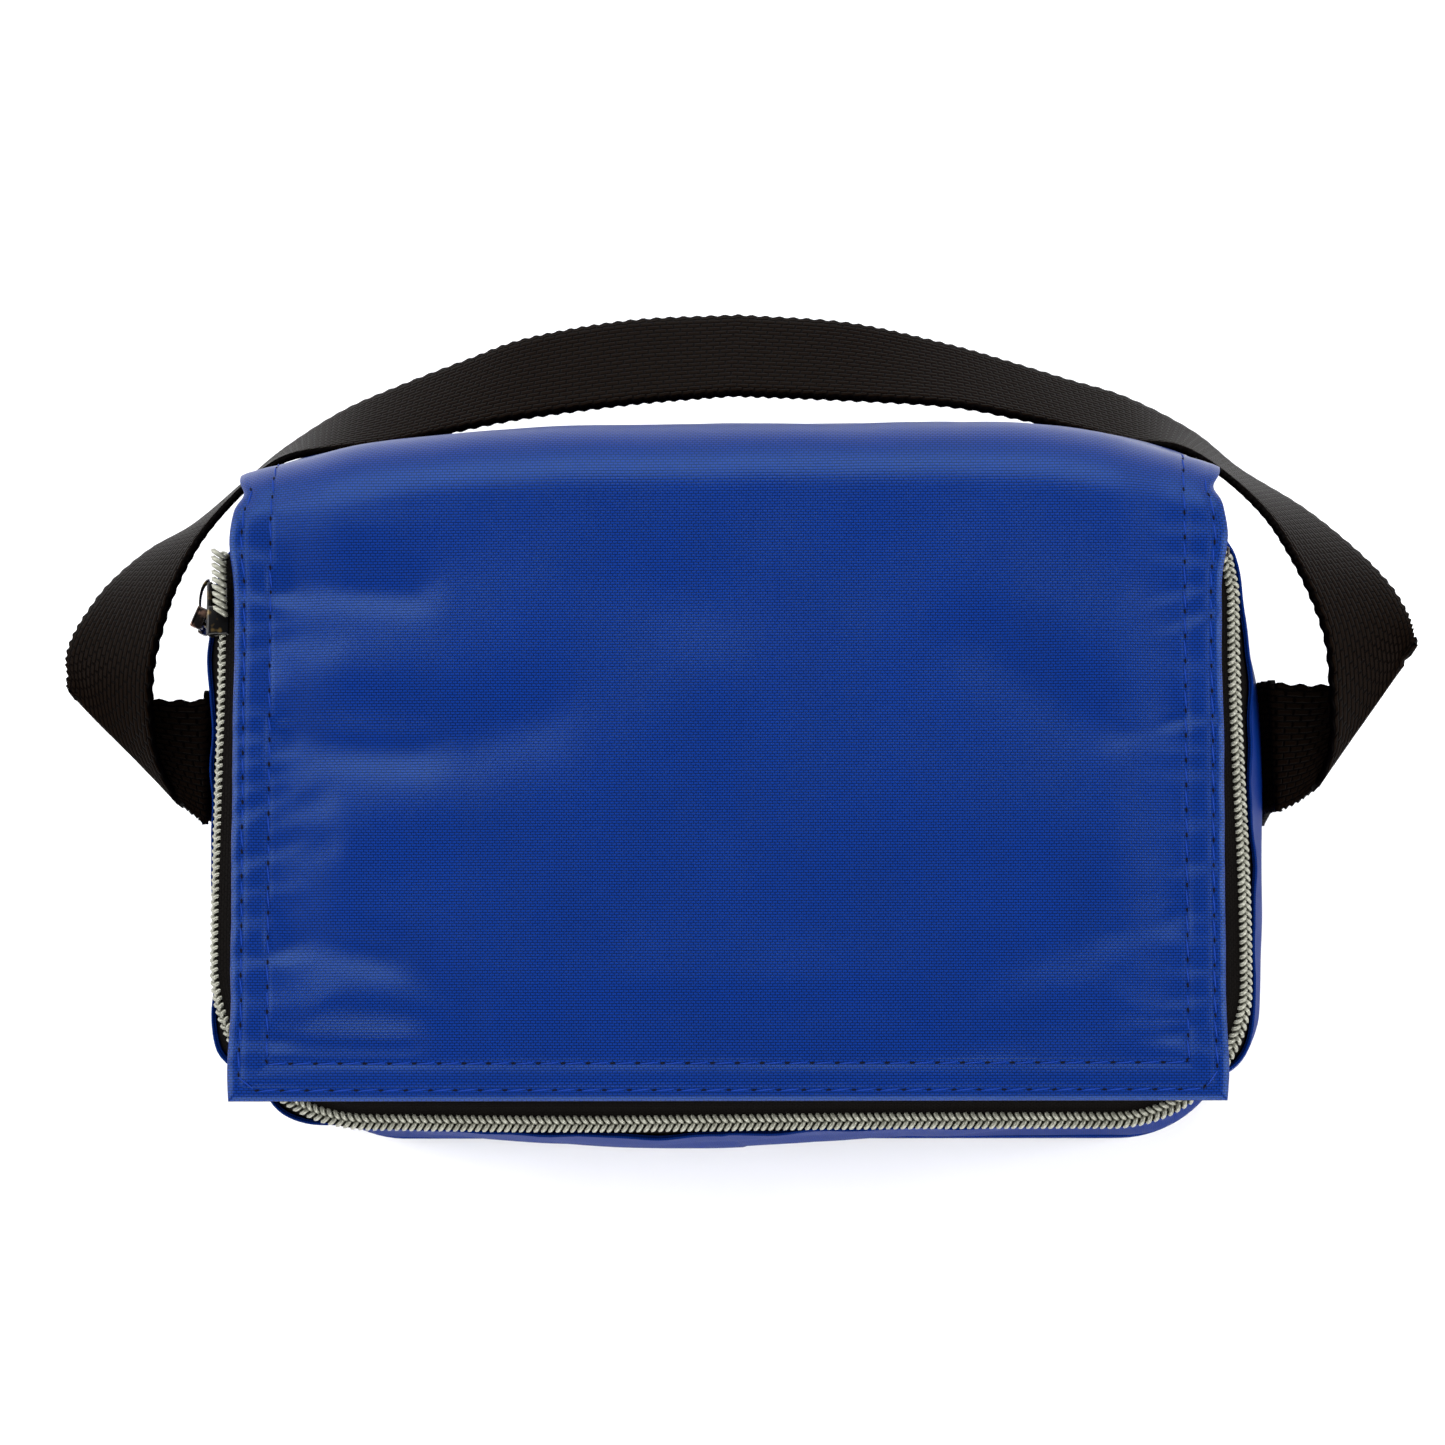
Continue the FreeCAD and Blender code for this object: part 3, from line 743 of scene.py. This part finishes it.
def rounded_bead(length, width, height):
    """A thread showing between two needle holes: thick in the middle, diving at its ends."""
    bead = fresh(bpy.ops.mesh.primitive_uv_sphere_add, "rotation", segments=8, ring_count=6, radius=0.5,
                 rotation=(0, math.pi / 2, 0))
    shape_all((bpy.ops.transform.resize, {"value": (length, width, height)}))
    return template(bead)


def place_copies(name, shape, places, ways, sides, ups, turn=0.0):
    """Copies of a shape, its x along ways, y along sides and z along ups."""
    points, faces = shape
    c, s = math.cos(turn), math.sin(turn)
    parts = []
    for place, way, side, up in zip(places, ways, sides, ups):
        a, b = c * way + s * side, -s * way + c * side
        parts.append((place + points[:, :1] * a + points[:, 1:2] * b + points[:, 2:3] * up, faces))
    return joined(name, parts)


def lid_stitches():
    for name, shape, skip, proud, material in (
            ("lid_stitching", rounded_bead(4.2, 0.36, 0.4), 0, 0.02, BLUE_THREAD),
            # the second set is painted shade: dark flecks at the needle holes, sitting just proud of the
            # cloth
            ("lid_needle_hole_shade", rounded_bead(1.15, 0.5, 0.3), 5, 0.03, NEEDLE_HOLE_SHADE)):
        sets = []
        for row, corner, phase in ((ROWS_IN[0], 3.0, 0), (ROWS_IN[1], 0.5, 2)):
            spots, ways = spaced(stitch_route(row, corner)[phase + skip:], 5.4)
            place, along, across, up = surface_frame(spots[:, 0], spots[:, 1])
            way = ways[:, :1] * across + ways[:, 1:] * along
            sets.append(((place + proud * up) * MM, way, np.cross(up, way), up))
        groups = [np.concatenate(group) for group in zip(*sets)]
        piece = place_copies(name, (shape[0] * MM, shape[1]), *groups, turn=0.10)
        finish_piece(piece, None, material)
        blend_at_fold(piece)


# --- zip -------------------------------------------------------------------------------------
ZIP_CORNER = (29.0, 34.0)    # right, left
ZIP_X = HALF_WIDTH / MM - 1.7
ZIP_Y = HALF_DEPTH / MM - 1.7
COIL_STEP = 1.6
COIL_LEAN = 0.62      # radians by which each turn of the coil slants


def zip_route():
    """Centre line of the chain in mm, from its right end round the front to its left end."""
    end = ZIP_END_Y / MM
    near, far = ZIP_CORNER
    right = [(ZIP_X, y) for y in np.arange(end, near - ZIP_Y, -0.5)]
    first = [(ZIP_X - near + near * math.cos(a), near - ZIP_Y + near * math.sin(a))
             for a in np.radians(np.arange(0, -90, -1.5))]
    front = [(x, -ZIP_Y) for x in np.arange(ZIP_X - near, far - ZIP_X, -0.5)]
    second = [(far - ZIP_X + far * math.cos(a), far - ZIP_Y + far * math.sin(a))
              for a in np.radians(np.arange(-90, -180, -1.5))]
    left = [(-ZIP_X, y) for y in np.arange(far - ZIP_Y, end + 0.1, 0.5)]
    route = np.array(right + first + front + second + left)
    x, y = route.T
    draw_in = np.where(x > 0, 2.1, 1.2) * smooth_step(-42, 30, y) + 1.5 * smooth_step(36, 47, y) * (x > 0)
    bow = 0.7 * np.exp(-((x + 32) / 46) ** 2) * (y < -60)
    return np.stack([x - np.sign(x) * draw_in * (np.abs(x) > 60), y - bow], axis=1)


def chain_frames(step):
    """Places along the zip, its direction, its outward side, and how far the chain tips outward."""
    spots, ways = spaced(zip_route(), step)
    out = np.stack([ways[:, 1], -ways[:, 0]], axis=1)
    out[np.sum(out * spots, axis=1) < 0] *= -1
    return spots, ways, out, 0.95 - 0.5 * np.abs(out[:, 1]) + 0.30 * np.clip(-out[:, 0], 0, 1)


def wall_gap(spots, out, z):
    """How far outward of each spot the cover's wall is at height z, in mm."""
    wall = shell_points(900, 0.0, [z])[0][0, :, :2]
    away = wall[None] - spots[:, None]
    reach = np.einsum("ijk,ik->ij", away, out)
    aside = np.abs(away[..., 0] * out[:, 1:] - away[..., 1] * out[:, :1]) + np.where(reach < -9, 99, 0)
    return reach[np.arange(len(spots)), np.argmin(aside, axis=1)]


def coil_turn():
    """One turn of the coil: a flattened ring of monofilament."""
    ring = fresh(bpy.ops.mesh.primitive_torus_add, "rotation", major_segments=12, minor_segments=5,
                 major_radius=0.80, minor_radius=0.50, rotation=(0, math.pi / 2, 0))
    shape_all((bpy.ops.transform.resize, {"value": (1.0, 1.12, 0.95)}))
    return template(ring)


def zip_coils():
    shape_points, shape_faces = coil_turn()
    shape = (shape_points * MM, shape_faces)
    rows = (("lid_coil", "lid", "lid_zip_coil", -1, 0.0, COIL_LEAN),
            ("body_coil", "bag", "body_zip_coil", 1, COIL_STEP / 2, -COIL_LEAN))
    for name, body, node, side, shift, lean in rows:
        spots, ways, out, tilt = chain_frames(COIL_STEP)
        spots = spots + ways * shift
        tilt = tilt[:, None]
        flat = np.column_stack([out, np.zeros(len(out))])
        up = np.array([0, 0, 1.0])
        across = np.cos(tilt) * flat - np.sin(tilt) * up
        normal = np.sin(tilt) * flat + np.cos(tilt) * up
        centre = np.column_stack([spots, np.full(len(spots), COIL_Z / MM)]) + 0.95 * side * across
        way = np.column_stack([ways, np.zeros(len(ways))])
        piece = place_copies(name, shape, centre * MM, way, across, normal, turn=lean)
        finish_piece(piece, body, COIL, (node,))


def swept_band(name, spots, out, profile, along):
    """A strip swept round the zip: profile gives (outward, z) for each line of the strip."""
    rows = []
    for outward, z in profile:
        rows.append(np.column_stack([spots + out * np.reshape(outward, (-1, 1)), z + 0 * spots[:, 0]]))
    points = np.array(rows)
    uv = np.zeros((len(profile), len(spots), 2))
    uv[:, :, 0] = along * MM
    uv[:, :, 1] = (np.arange(len(profile)) * 2.0)[:, None] * MM
    return sheet_mesh(name, points * MM, uv)


def zip_tapes():
    spots, _, out, tilt = chain_frames(2.0)
    along = np.arange(len(spots)) * 2.0
    wave = 0.25 * wander(51, along / 37, 0 * along, octaves=2)
    one = np.ones(len(spots))
    flat_share, steep_share = np.cos(tilt), np.sin(tilt)
    lid = [(-1.6 * flat_share, 142.0 + 1.2 * steep_share), (-2.6 * flat_share - 0.3, 143.9 + wave),
           (-3.6 * one, 146.0 + wave), (-4.8 * one, 147.2), (-9.5 * one, 148.0)]
    tape = swept_band("lid_tape", spots, out, lid, along)
    thicken(tape, TAPE_THICK, 0.0)
    finish_piece(tape, "lid", TAPE, ("lid_zip_tape",))
    high, low = wall_gap(spots, out, 137.0) - 1.5, wall_gap(spots, out, 126.0) - 1.7
    start = 1.6 * flat_share
    body = [(start, 141.6 - 1.2 * steep_share), (0.5 * start + 0.5 * np.maximum(high, 0.4), 139.6 + wave),
            (high, 137.6), (high - 0.1, 134.0), (0.5 * (high + low) - 0.1, 130.0), (low, 126.0)]
    tape = swept_band("body_tape", spots, out, body, along)
    thicken(tape, TAPE_THICK, 0.0)
    finish_piece(tape, "bag", TAPE, ("body_zip_tape",))


def mm_box(low, high, bevel):
    """A block from its low and high corners with rounded edges, all in mm."""
    low, high = Vector(low) * MM, Vector(high) * MM
    block = fresh(bpy.ops.mesh.primitive_cube_add, "location", size=1.0, location=(low + high) / 2)
    shape_all((bpy.ops.transform.resize, {"value": tuple(high - low), "center_override": (low + high) / 2}),
              (bpy.ops.mesh.bevel, {"offset": bevel * MM, "segments": 3, "affect": "EDGES"}))
    return block


def merged(name, pieces):
    bpy.ops.object.select_all(action="DESELECT")
    for piece in pieces:
        piece.select_set(True)
    bpy.context.view_layer.objects.active = pieces[0]
    bpy.ops.object.join()
    pieces[0].name = name
    pieces[0].data.name = name
    bpy.ops.object.shade_smooth_by_angle(angle=math.radians(40))
    return pieces[0]


def arch(centre, radius, thick, squash, width):
    """Half ring standing out to the left, for the slider's crown."""
    ring = fresh(bpy.ops.mesh.primitive_torus_add, "location", major_segments=28, minor_segments=10,
                 major_radius=radius * MM, minor_radius=thick * MM, location=centre)
    shape_all((bpy.ops.transform.resize, {"value": (squash, 1.0, width), "center_override": centre}),
              (bpy.ops.mesh.bisect, {"plane_co": centre, "plane_no": (1, 0, 0), "use_fill": True,
                                     "clear_outer": True}))
    return ring


def slider_pieces():
    x0, y0, z0 = (v / MM for v in SLIDER_LOW)
    x1, y1, z1 = (v / MM for v in SLIDER_HIGH)
    waist = y0 + 6.6
    parts = [
        mm_box((x0, y0, z0 + 0.4), (x0 + 1.2, y1, z1 - 0.4), 0.45),
        mm_box((x1 - 1.2, y0, z0 + 0.4), (x1, y1, z1 - 0.4), 0.45),
        mm_box((x0 + 0.3, y0 + 0.3, z1 - 1.2), (x1 - 0.3, waist, z1), 0.4),
        mm_box((x0 + 0.3, y0 + 0.3, z0), (x1 - 0.3, waist, z0 + 1.2), 0.4),
        mm_box((x0 + 0.9, y1 - 3.2, 140.9), (x1 - 0.9, y1 - 0.6, 142.6), 0.5),
    ]
    for part in parts[:2]:
        use_only(part)
        bpy.ops.object.mode_set(mode="EDIT")
        bpy.ops.mesh.select_all(action="DESELECT")
        bpy.ops.object.mode_set(mode="OBJECT")
        for vertex in part.data.vertices:
            vertex.select = vertex.co.y > (y1 - 2.5) * MM
        bpy.ops.object.mode_set(mode="EDIT")
        bpy.ops.transform.resize(value=(1, 1, 0.8), center_override=(0, 0, 141.7 * MM))
        bpy.ops.object.mode_set(mode="OBJECT")
    body = merged("slider_casting", parts)
    finish_piece(body, "slider", ENAMEL, ("zip_slider",))
    centre = ((x0 + 0.3) * MM, ((y0 + y1) / 2 + 1.2) * MM, 142.4 * MM)
    crown = arch(centre, 5.0, 0.62, 0.40, 1.7)
    crown = merged("slider_crown", [crown])
    finish_piece(crown, "slider", GILT, ("slider_bridge",))


def pull_piece():
    y0, y1 = PULL_LOW[1] / MM, PULL_HIGH[1] / MM
    x = PULL_LOW[0] / MM + 3.3
    top, low = PULL_HIGH[2] / MM, PULL_LOW[2] / MM
    middle = (y0 + y1) / 2
    parts = [
        mm_box((x - 1.1, y0, top - 3.4), (x - 0.1, y1, top + 0.2), 0.35),
        mm_box((x + 0.9, y0 + 0.4, top - 3.2), (x + 1.5, y1 - 0.4, top), 0.25),
        mm_box((x - 1.1, y0, top - 0.9), (x + 1.5, y1, top + 0.2), 0.35),
        mm_box((x - 1.0, y0 + 0.2, low + 2.0), (x - 0.1, y1 - 0.2, top - 2.6), 0.3),
        mm_box((x - 1.3, y0 - 0.3, low), (x + 0.2, y1 + 0.3, low + 6.5), 0.6),
    ]
    tab = merged("zip_pull", parts)
    use_only(tab)
    shape_all((bpy.ops.transform.rotate, {"value": math.radians(24), "orient_axis": "Z",
                                          "center_override": (x * MM, middle * MM, top * MM)}))
    finish_piece(tab, "pull", PLATED, ("pull_tab",))


def coil_tail():
    """The lid's loose run of coil behind the slider."""
    points, faces = coil_turn()
    along = np.linspace(0, 1, 9)
    places = np.column_stack([-111.3 - 0.5 * along, 34.2 + 12.6 * along,
                              146.0 + 0.6 * np.sin(math.pi * along)])
    way, side, up = (np.tile(v, (len(along), 1)) for v in ((-0.04, 1, 0), (1, 0.04, 0), (0, 0, 1.0)))
    shape = (points * np.array([1.15, 1.45, 1.25]) * MM, faces)
    tail = place_copies("left_coil_tail", shape, places * MM, way, side, up, turn=COIL_LEAN)
    finish_piece(tail, "lid", COIL)


def zip_stops():
    route = zip_route()
    for name, spot, node, material in (("right_stop", route[0], "right_zip_stop", PLATED),
                                       ("left_stop", route[-1], "left_zip_stop", ENAMEL)):
        x, y = spot
        z = COIL_Z / MM
        clamp = mm_box((x - 1.1, y - 1.6, z - 1.3), (x + 1.1, y + 0.6, z + 1.2), 0.55)
        clamp = merged(name, [clamp])
        finish_piece(clamp, "bag", material, (node,))


# --- carry strap -----------------------------------------------------------------------------


def wall_at(side, y, z):
    """x of the swollen side wall in mm."""
    swell = float(wall_swell(np.array(side * 114.0), np.array(float(y)), np.array(float(side)), np.array(0.0),
                             np.array(float(z))))
    return side * (HALF_WIDTH / MM + swell)


# Selvedge pairs in mm from the wall to the middle of the back: x, y, z of the inner edge, then of the outer.
RIGHT_FREE = [
    ((121.5, -7.8, 105.6), (121.5, 20.8, 105.6)), ((126.0, -5.6, 106.2), (136.0, 21.0, 105.4)),
    ((130.3, -1.4, 107.2), (151.3, 28.8, 105.6)), ((133.0, 6.5, 110.8), (152.0, 31.5, 104.6)),
    ((132.9, 18.2, 117.0), (151.3, 34.2, 103.4)), ((131.9, 28.4, 120.6), (149.8, 37.8, 102.4)),
    ((129.0, 37.6, 122.2), (146.2, 43.6, 101.2)), ((124.3, 47.4, 123.4), (139.0, 51.4, 99.2)),
    ((118.2, 56.8, 124.4), (127.6, 61.0, 97.6)), ((109.0, 65.6, 125.0), (113.4, 70.0, 97.4)),
    ((99.5, 71.4, 124.6), (102.8, 78.6, 97.8)), ((89.0, 73.2, 121.6), (88.0, 86.4, 98.2)),
    ((77.5, 76.4, 119.6), (74.5, 90.6, 98.8)), ((64.6, 79.6, 118.6), (61.0, 94.8, 99.4)),
    ((48.0, 82.6, 119.4), (47.2, 98.8, 100.0)), ((22.0, 84.2, 120.4), (25.0, 103.8, 100.3)),
    ((0.0, 85.2, 120.8), (0.0, 105.8, 100.4)),
]
LEFT_FREE = [
    ((-120.5, -9.6, 105.6), (-121.5, 18.4, 105.6)), ((-123.6, -7.2, 106.2), (-136.0, 18.8, 105.4)),
    ((-127.0, -3.6, 107.2), (-150.9, 20.4, 105.6)), ((-130.6, 5.2, 111.4), (-152.3, 24.6, 104.6)),
    ((-131.4, 15.4, 115.8), (-152.6, 28.6, 103.4)), ((-130.7, 24.0, 119.2), (-151.4, 33.0, 102.4)),
    ((-128.5, 33.0, 121.2), (-148.6, 38.2, 101.4)), ((-125.2, 42.4, 122.6), (-143.4, 45.4, 100.0)),
    ((-119.8, 52.4, 123.6), (-134.6, 53.2, 98.6)), ((-113.0, 60.6, 124.6), (-124.2, 59.4, 97.6)),
    ((-105.6, 67.4, 125.0), (-112.0, 69.8, 97.2)), ((-99.0, 71.2, 124.6), (-103.6, 76.6, 97.6)),
    ((-89.0, 73.2, 121.6), (-90.6, 84.8, 98.0)), ((-77.5, 74.9, 119.0), (-77.6, 90.4, 98.6)),
    ((-64.6, 77.6, 118.2), (-62.0, 96.2, 99.4)), ((-48.0, 80.6, 119.0), (-48.0, 101.0, 100.0)),
    ((-22.0, 83.6, 120.4), (-25.0, 104.8, 100.3)), ((0.0, 85.2, 120.8), (0.0, 105.8, 100.4)),
]


RIGHT_SEWN, LEFT_SEWN = (-7.5, 21.5), (-8.5, 20.5)      # y of the sewn end's two edges
# height on the wall, and how far the webbing stands off it
SEWN_HEIGHTS = ((57.2, 1.0), (64, 0.9), (72, 0.9), (80, 0.9), (88, 0.9), (95, 1.0), (100, 1.9), (103.8, 4.0))


def sewn_run(side, front, back):
    """Selvedge pairs up the wall, from the sewn end's fold to where the webbing leaves the wall."""
    pairs = []
    for z, off in SEWN_HEIGHTS:
        edge_front, edge_back = wall_at(side, front, z) + side * off, wall_at(side, back, z) + side * off
        pairs.append(((edge_front, front, z), (edge_back, back, z)))
    return pairs


def catmull(points, step):
    """An even, smooth run of values through the given ones; points is stations by numbers."""
    points = np.asarray(points, float)
    padded_points = np.vstack([2 * points[0] - points[1], points, 2 * points[-1] - points[-2]])
    rows = []
    for k in range(1, len(padded_points) - 2):
        p0, p1, p2, p3 = padded_points[k - 1:k + 3]
        for t in np.linspace(0, 1, 24, endpoint=False):
            rows.append(0.5 * (2 * p1 + (p2 - p0) * t + (2 * p0 - 5 * p1 + 4 * p2 - p3) * t ** 2
                               + (3 * p1 - p0 - 3 * p2 + p3) * t ** 3))
    rows.append(points[-1])
    rows = np.array(rows)
    reach = distances((rows[:, :3] + rows[:, 3:]) / 2)
    marks = np.linspace(0, reach[-1], max(2, int(round(reach[-1] / step)) + 1))
    return read_off(marks, reach, rows), marks


def strap_mesh(name, stations, marks):
    """Webbing from its two selvedges, with knotted edges."""
    across = np.linspace(0, 1, 13)
    inner, outer = stations[:, :3], stations[:, 3:]
    side = outer - inner
    outward = side / np.linalg.norm(side, axis=1, keepdims=True)
    knots = outward * (0.32 * np.sin(2 * math.pi * marks / 2.9))[:, None]
    rows = [inner + side * t for t in across]
    rows[0] = rows[0] - knots
    rows[-1] = rows[-1] + knots
    points = np.array(rows).transpose(1, 0, 2)
    uv = np.zeros((*points.shape[:2], 2))
    uv[:, :, 0] = marks[:, None] * MM
    uv[:, :, 1] = across * STRAP_WIDTH
    strap = sheet_mesh(name, points * MM, uv)
    thicken(strap, STRAP_THICK, 0.0)
    return strap


def strap_root(side, name, node, front, back, free_pairs):
    """The root from the sewn end to the webbing's first fold; returns the rest of the webbing."""
    pairs = [[*inner, *outer] for inner, outer in sewn_run(side, front, back) + free_pairs]
    rows, marks = catmull(pairs, 0.62)
    fold = free_pairs[2]
    index = int(np.argmin(np.abs(rows - np.array([*fold[0], *fold[1]])).sum(axis=1)))
    root = rows[:index + 1]
    piece = strap_mesh(name, root, marks[:index + 1])
    finish_piece(piece, None, WEBBING, (node,))
    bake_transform(piece)
    return rows[index:]


def carry_strap():
    right = strap_root(1, "right_strap_root", "right_strap_end", *RIGHT_SEWN, RIGHT_FREE)
    left = strap_root(-1, "left_strap_root", "left_strap_end", *LEFT_SEWN, LEFT_FREE)
    rows = np.vstack([right, left[::-1][1:]])
    marks = distances((rows[:, :3] + rows[:, 3:]) / 2)
    piece = strap_mesh("carry_strap_webbing", rows, marks)
    finish_piece(piece, "strap", WEBBING, ("carry_strap",))


def strap_stitches():
    """Box and cross sewn through each end of the webbing."""
    points, faces = rounded_bead(3.2, 0.55, 0.5)
    for side, name, front in ((1, "right_box_stitch", RIGHT_SEWN[0]), (-1, "left_box_stitch", LEFT_SEWN[0])):
        low, high, near, far = 60.5, 84.0, front + 3.2, front + 25.8
        box_and_cross = [(near, low), (far, low), (far, high), (near, high), (near, low), (far, high)]
        places, ways = [], []
        for path in (box_and_cross, [(far, low), (near, high)]):
            for (y, z), (next_y, next_z) in zip(path, path[1:]):
                length = math.hypot(next_y - y, next_z - z)
                dy, dz = (next_y - y) / length, (next_z - z) / length
                for mark in np.arange(2.0, length - 1, 4.0):
                    spot = (y + dy * mark, z + dz * mark)
                    places.append((wall_at(side, *spot) + side * 1.85, *spot))
                    ways.append((0, dy, dz))
        places, ways = np.array(places) * MM, np.array(ways)
        outward = np.tile((side, 0, 0), (len(ways), 1))
        piece = place_copies(name, (points * MM, faces), places, ways, np.cross(outward, ways), outward)
        finish_piece(piece, "bag", BLACK_THREAD)


# --- inside ----------------------------------------------------------------------------------


def wall_padding():
    """Foam between cover and lining: a tub with thick walls."""
    heights = np.concatenate([[1.5, 3.0, 6.0], np.arange(10, 112, 6.1), [116.0]])
    points, along, length, _ = shell_points(200, 1.6, heights, folds=0.6)
    points = np.concatenate([floor_rings(points[0], (0.0, 0.5, 0.9)), points])
    uv = np.zeros((len(points), 201, 2))
    pad = sheet_mesh("wall_padding", points * MM, uv, closed=True)
    weld(pad)
    thicken(pad, FOAM_THICK)
    finish_piece(pad, "bag", FOAM, ("front_foam", "back_foam", "left_foam", "right_foam", "base_foam",
                                            "rear_strip_foam"))


def lining_tub():
    """Film lining: welded tub with soft creases, up to the binding."""
    heights = np.concatenate([[6.4, 7.2, 9.0], np.arange(12, 130, 3.4), [131.6]])
    walls, along, length, (x, y, nx, ny) = shell_points(340, 6.8, heights, folds=0.3)
    z = heights[:, None]
    puff = 0.6 * wander(61, along / 52, z / 60) + 0.3 * wander(63, along / 15, z / 17)
    puff = puff - 2.0 * np.clip(1 - (z - 6) / 6, 0, 1) ** 2
    walls[:, :, 0] += nx * puff
    walls[:, :, 1] += ny * puff
    floor = floor_rings(walls[0], (0.0, 0.3, 0.6, 0.85, 0.96))
    floor[0, :, 2] = 6.2
    floor[1:, :, 2] = 6.2 + 0.35 * wander(65, floor[1:, :, 0] / 30, floor[1:, :, 1] / 30)
    points = np.concatenate([floor, walls])
    uv = np.zeros((len(points), 341, 2))
    tub = sheet_mesh("lining_tub", points * MM, uv, closed=True)
    weld(tub)
    thicken(tub, FILM_THICK, 1.0)
    finish_piece(tub, "bag", LINING, ("front_liner", "back_liner", "left_liner", "right_liner",
                                               "base_liner", "rear_strip_liner"))
    length = length - 2 * math.pi * 6.8


def rim_tape():
    """Binding folded over the top of the lining."""
    rows = []
    for inset, z in ((5.6, 129.4), (7.0, 129.0), (7.6, 131), (7.6, 135), (7.0, 137.2),
                     (5.4, 138.0), (3.8, 137.8), (3.0, 136.6), (3.4, 134)):
        ring, along, length, _ = shell_points(300, inset, [z], folds=0.4)
        ring[0, :, 2] += 0.25 * wander(71, along / 26, 0 * along, octaves=2)
        rows.append(ring[0])
    points = np.array(rows)
    uv = np.zeros((len(points), 301, 2))
    uv[:, :, 0] = np.arange(301) / 300 * length * MM
    uv[:, :, 1] = np.arange(len(points))[:, None] * 2.0 * MM
    tape = sheet_mesh("rim_tape", points[::-1] * MM, uv, closed=True)
    thicken(tape, FILM_THICK)
    finish_piece(tape, "bag", TAPE, ("rim_binding",))


def lid_padding():
    """Foam slab inside the lid, and its lining."""
    low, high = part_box("lid_foam")
    pad = mm_box(np.array(low) / MM, np.array(high) / MM - np.array([0, 1, 0.8]), 1.2)
    pad.name = "lid_padding"
    pad.data.name = "lid_padding"
    finish_piece(pad, "lid", FOAM, ("lid_foam",))
    x = np.linspace(-101.5, 101.5, 120)
    y = np.linspace(-67, 47.4, 76)
    gx, gy = np.meshgrid(x, y)
    edge = np.minimum(np.minimum(101.5 - np.abs(gx), gy + 67), (47.4 - gy) * 1.5)
    z = 144.2 + 3.2 * np.clip(1 - edge / 3.2, 0, 1) ** 2
    z = z - 0.25 * wander(81, gx / 45, gy / 45) * smooth_step(3, 12, edge)
    z = z - 0.12 * wander(83, gx / 14, gy / 14) * smooth_step(3, 9, edge)
    points = np.stack([gx, gy, z], axis=2)[:, ::-1]
    lining = sheet_mesh("lid_lining", points * MM, np.stack([gx, gy], axis=2)[:, ::-1] * MM)
    thicken(lining, 0.4 * MM)
    finish_piece(lining, "lid", LINING, ("lid_liner",))


set_camera()
set_studio()
lay_floor()
body_shell()
base_seam()
wall_padding()
lining_tub()
rim_tape()
lid_padding()
lid_sheet()
lid_stitches()
zip_tapes()
zip_coils()
coil_tail()
zip_stops()
slider_pieces()
pull_piece()
carry_strap()
strap_stitches()
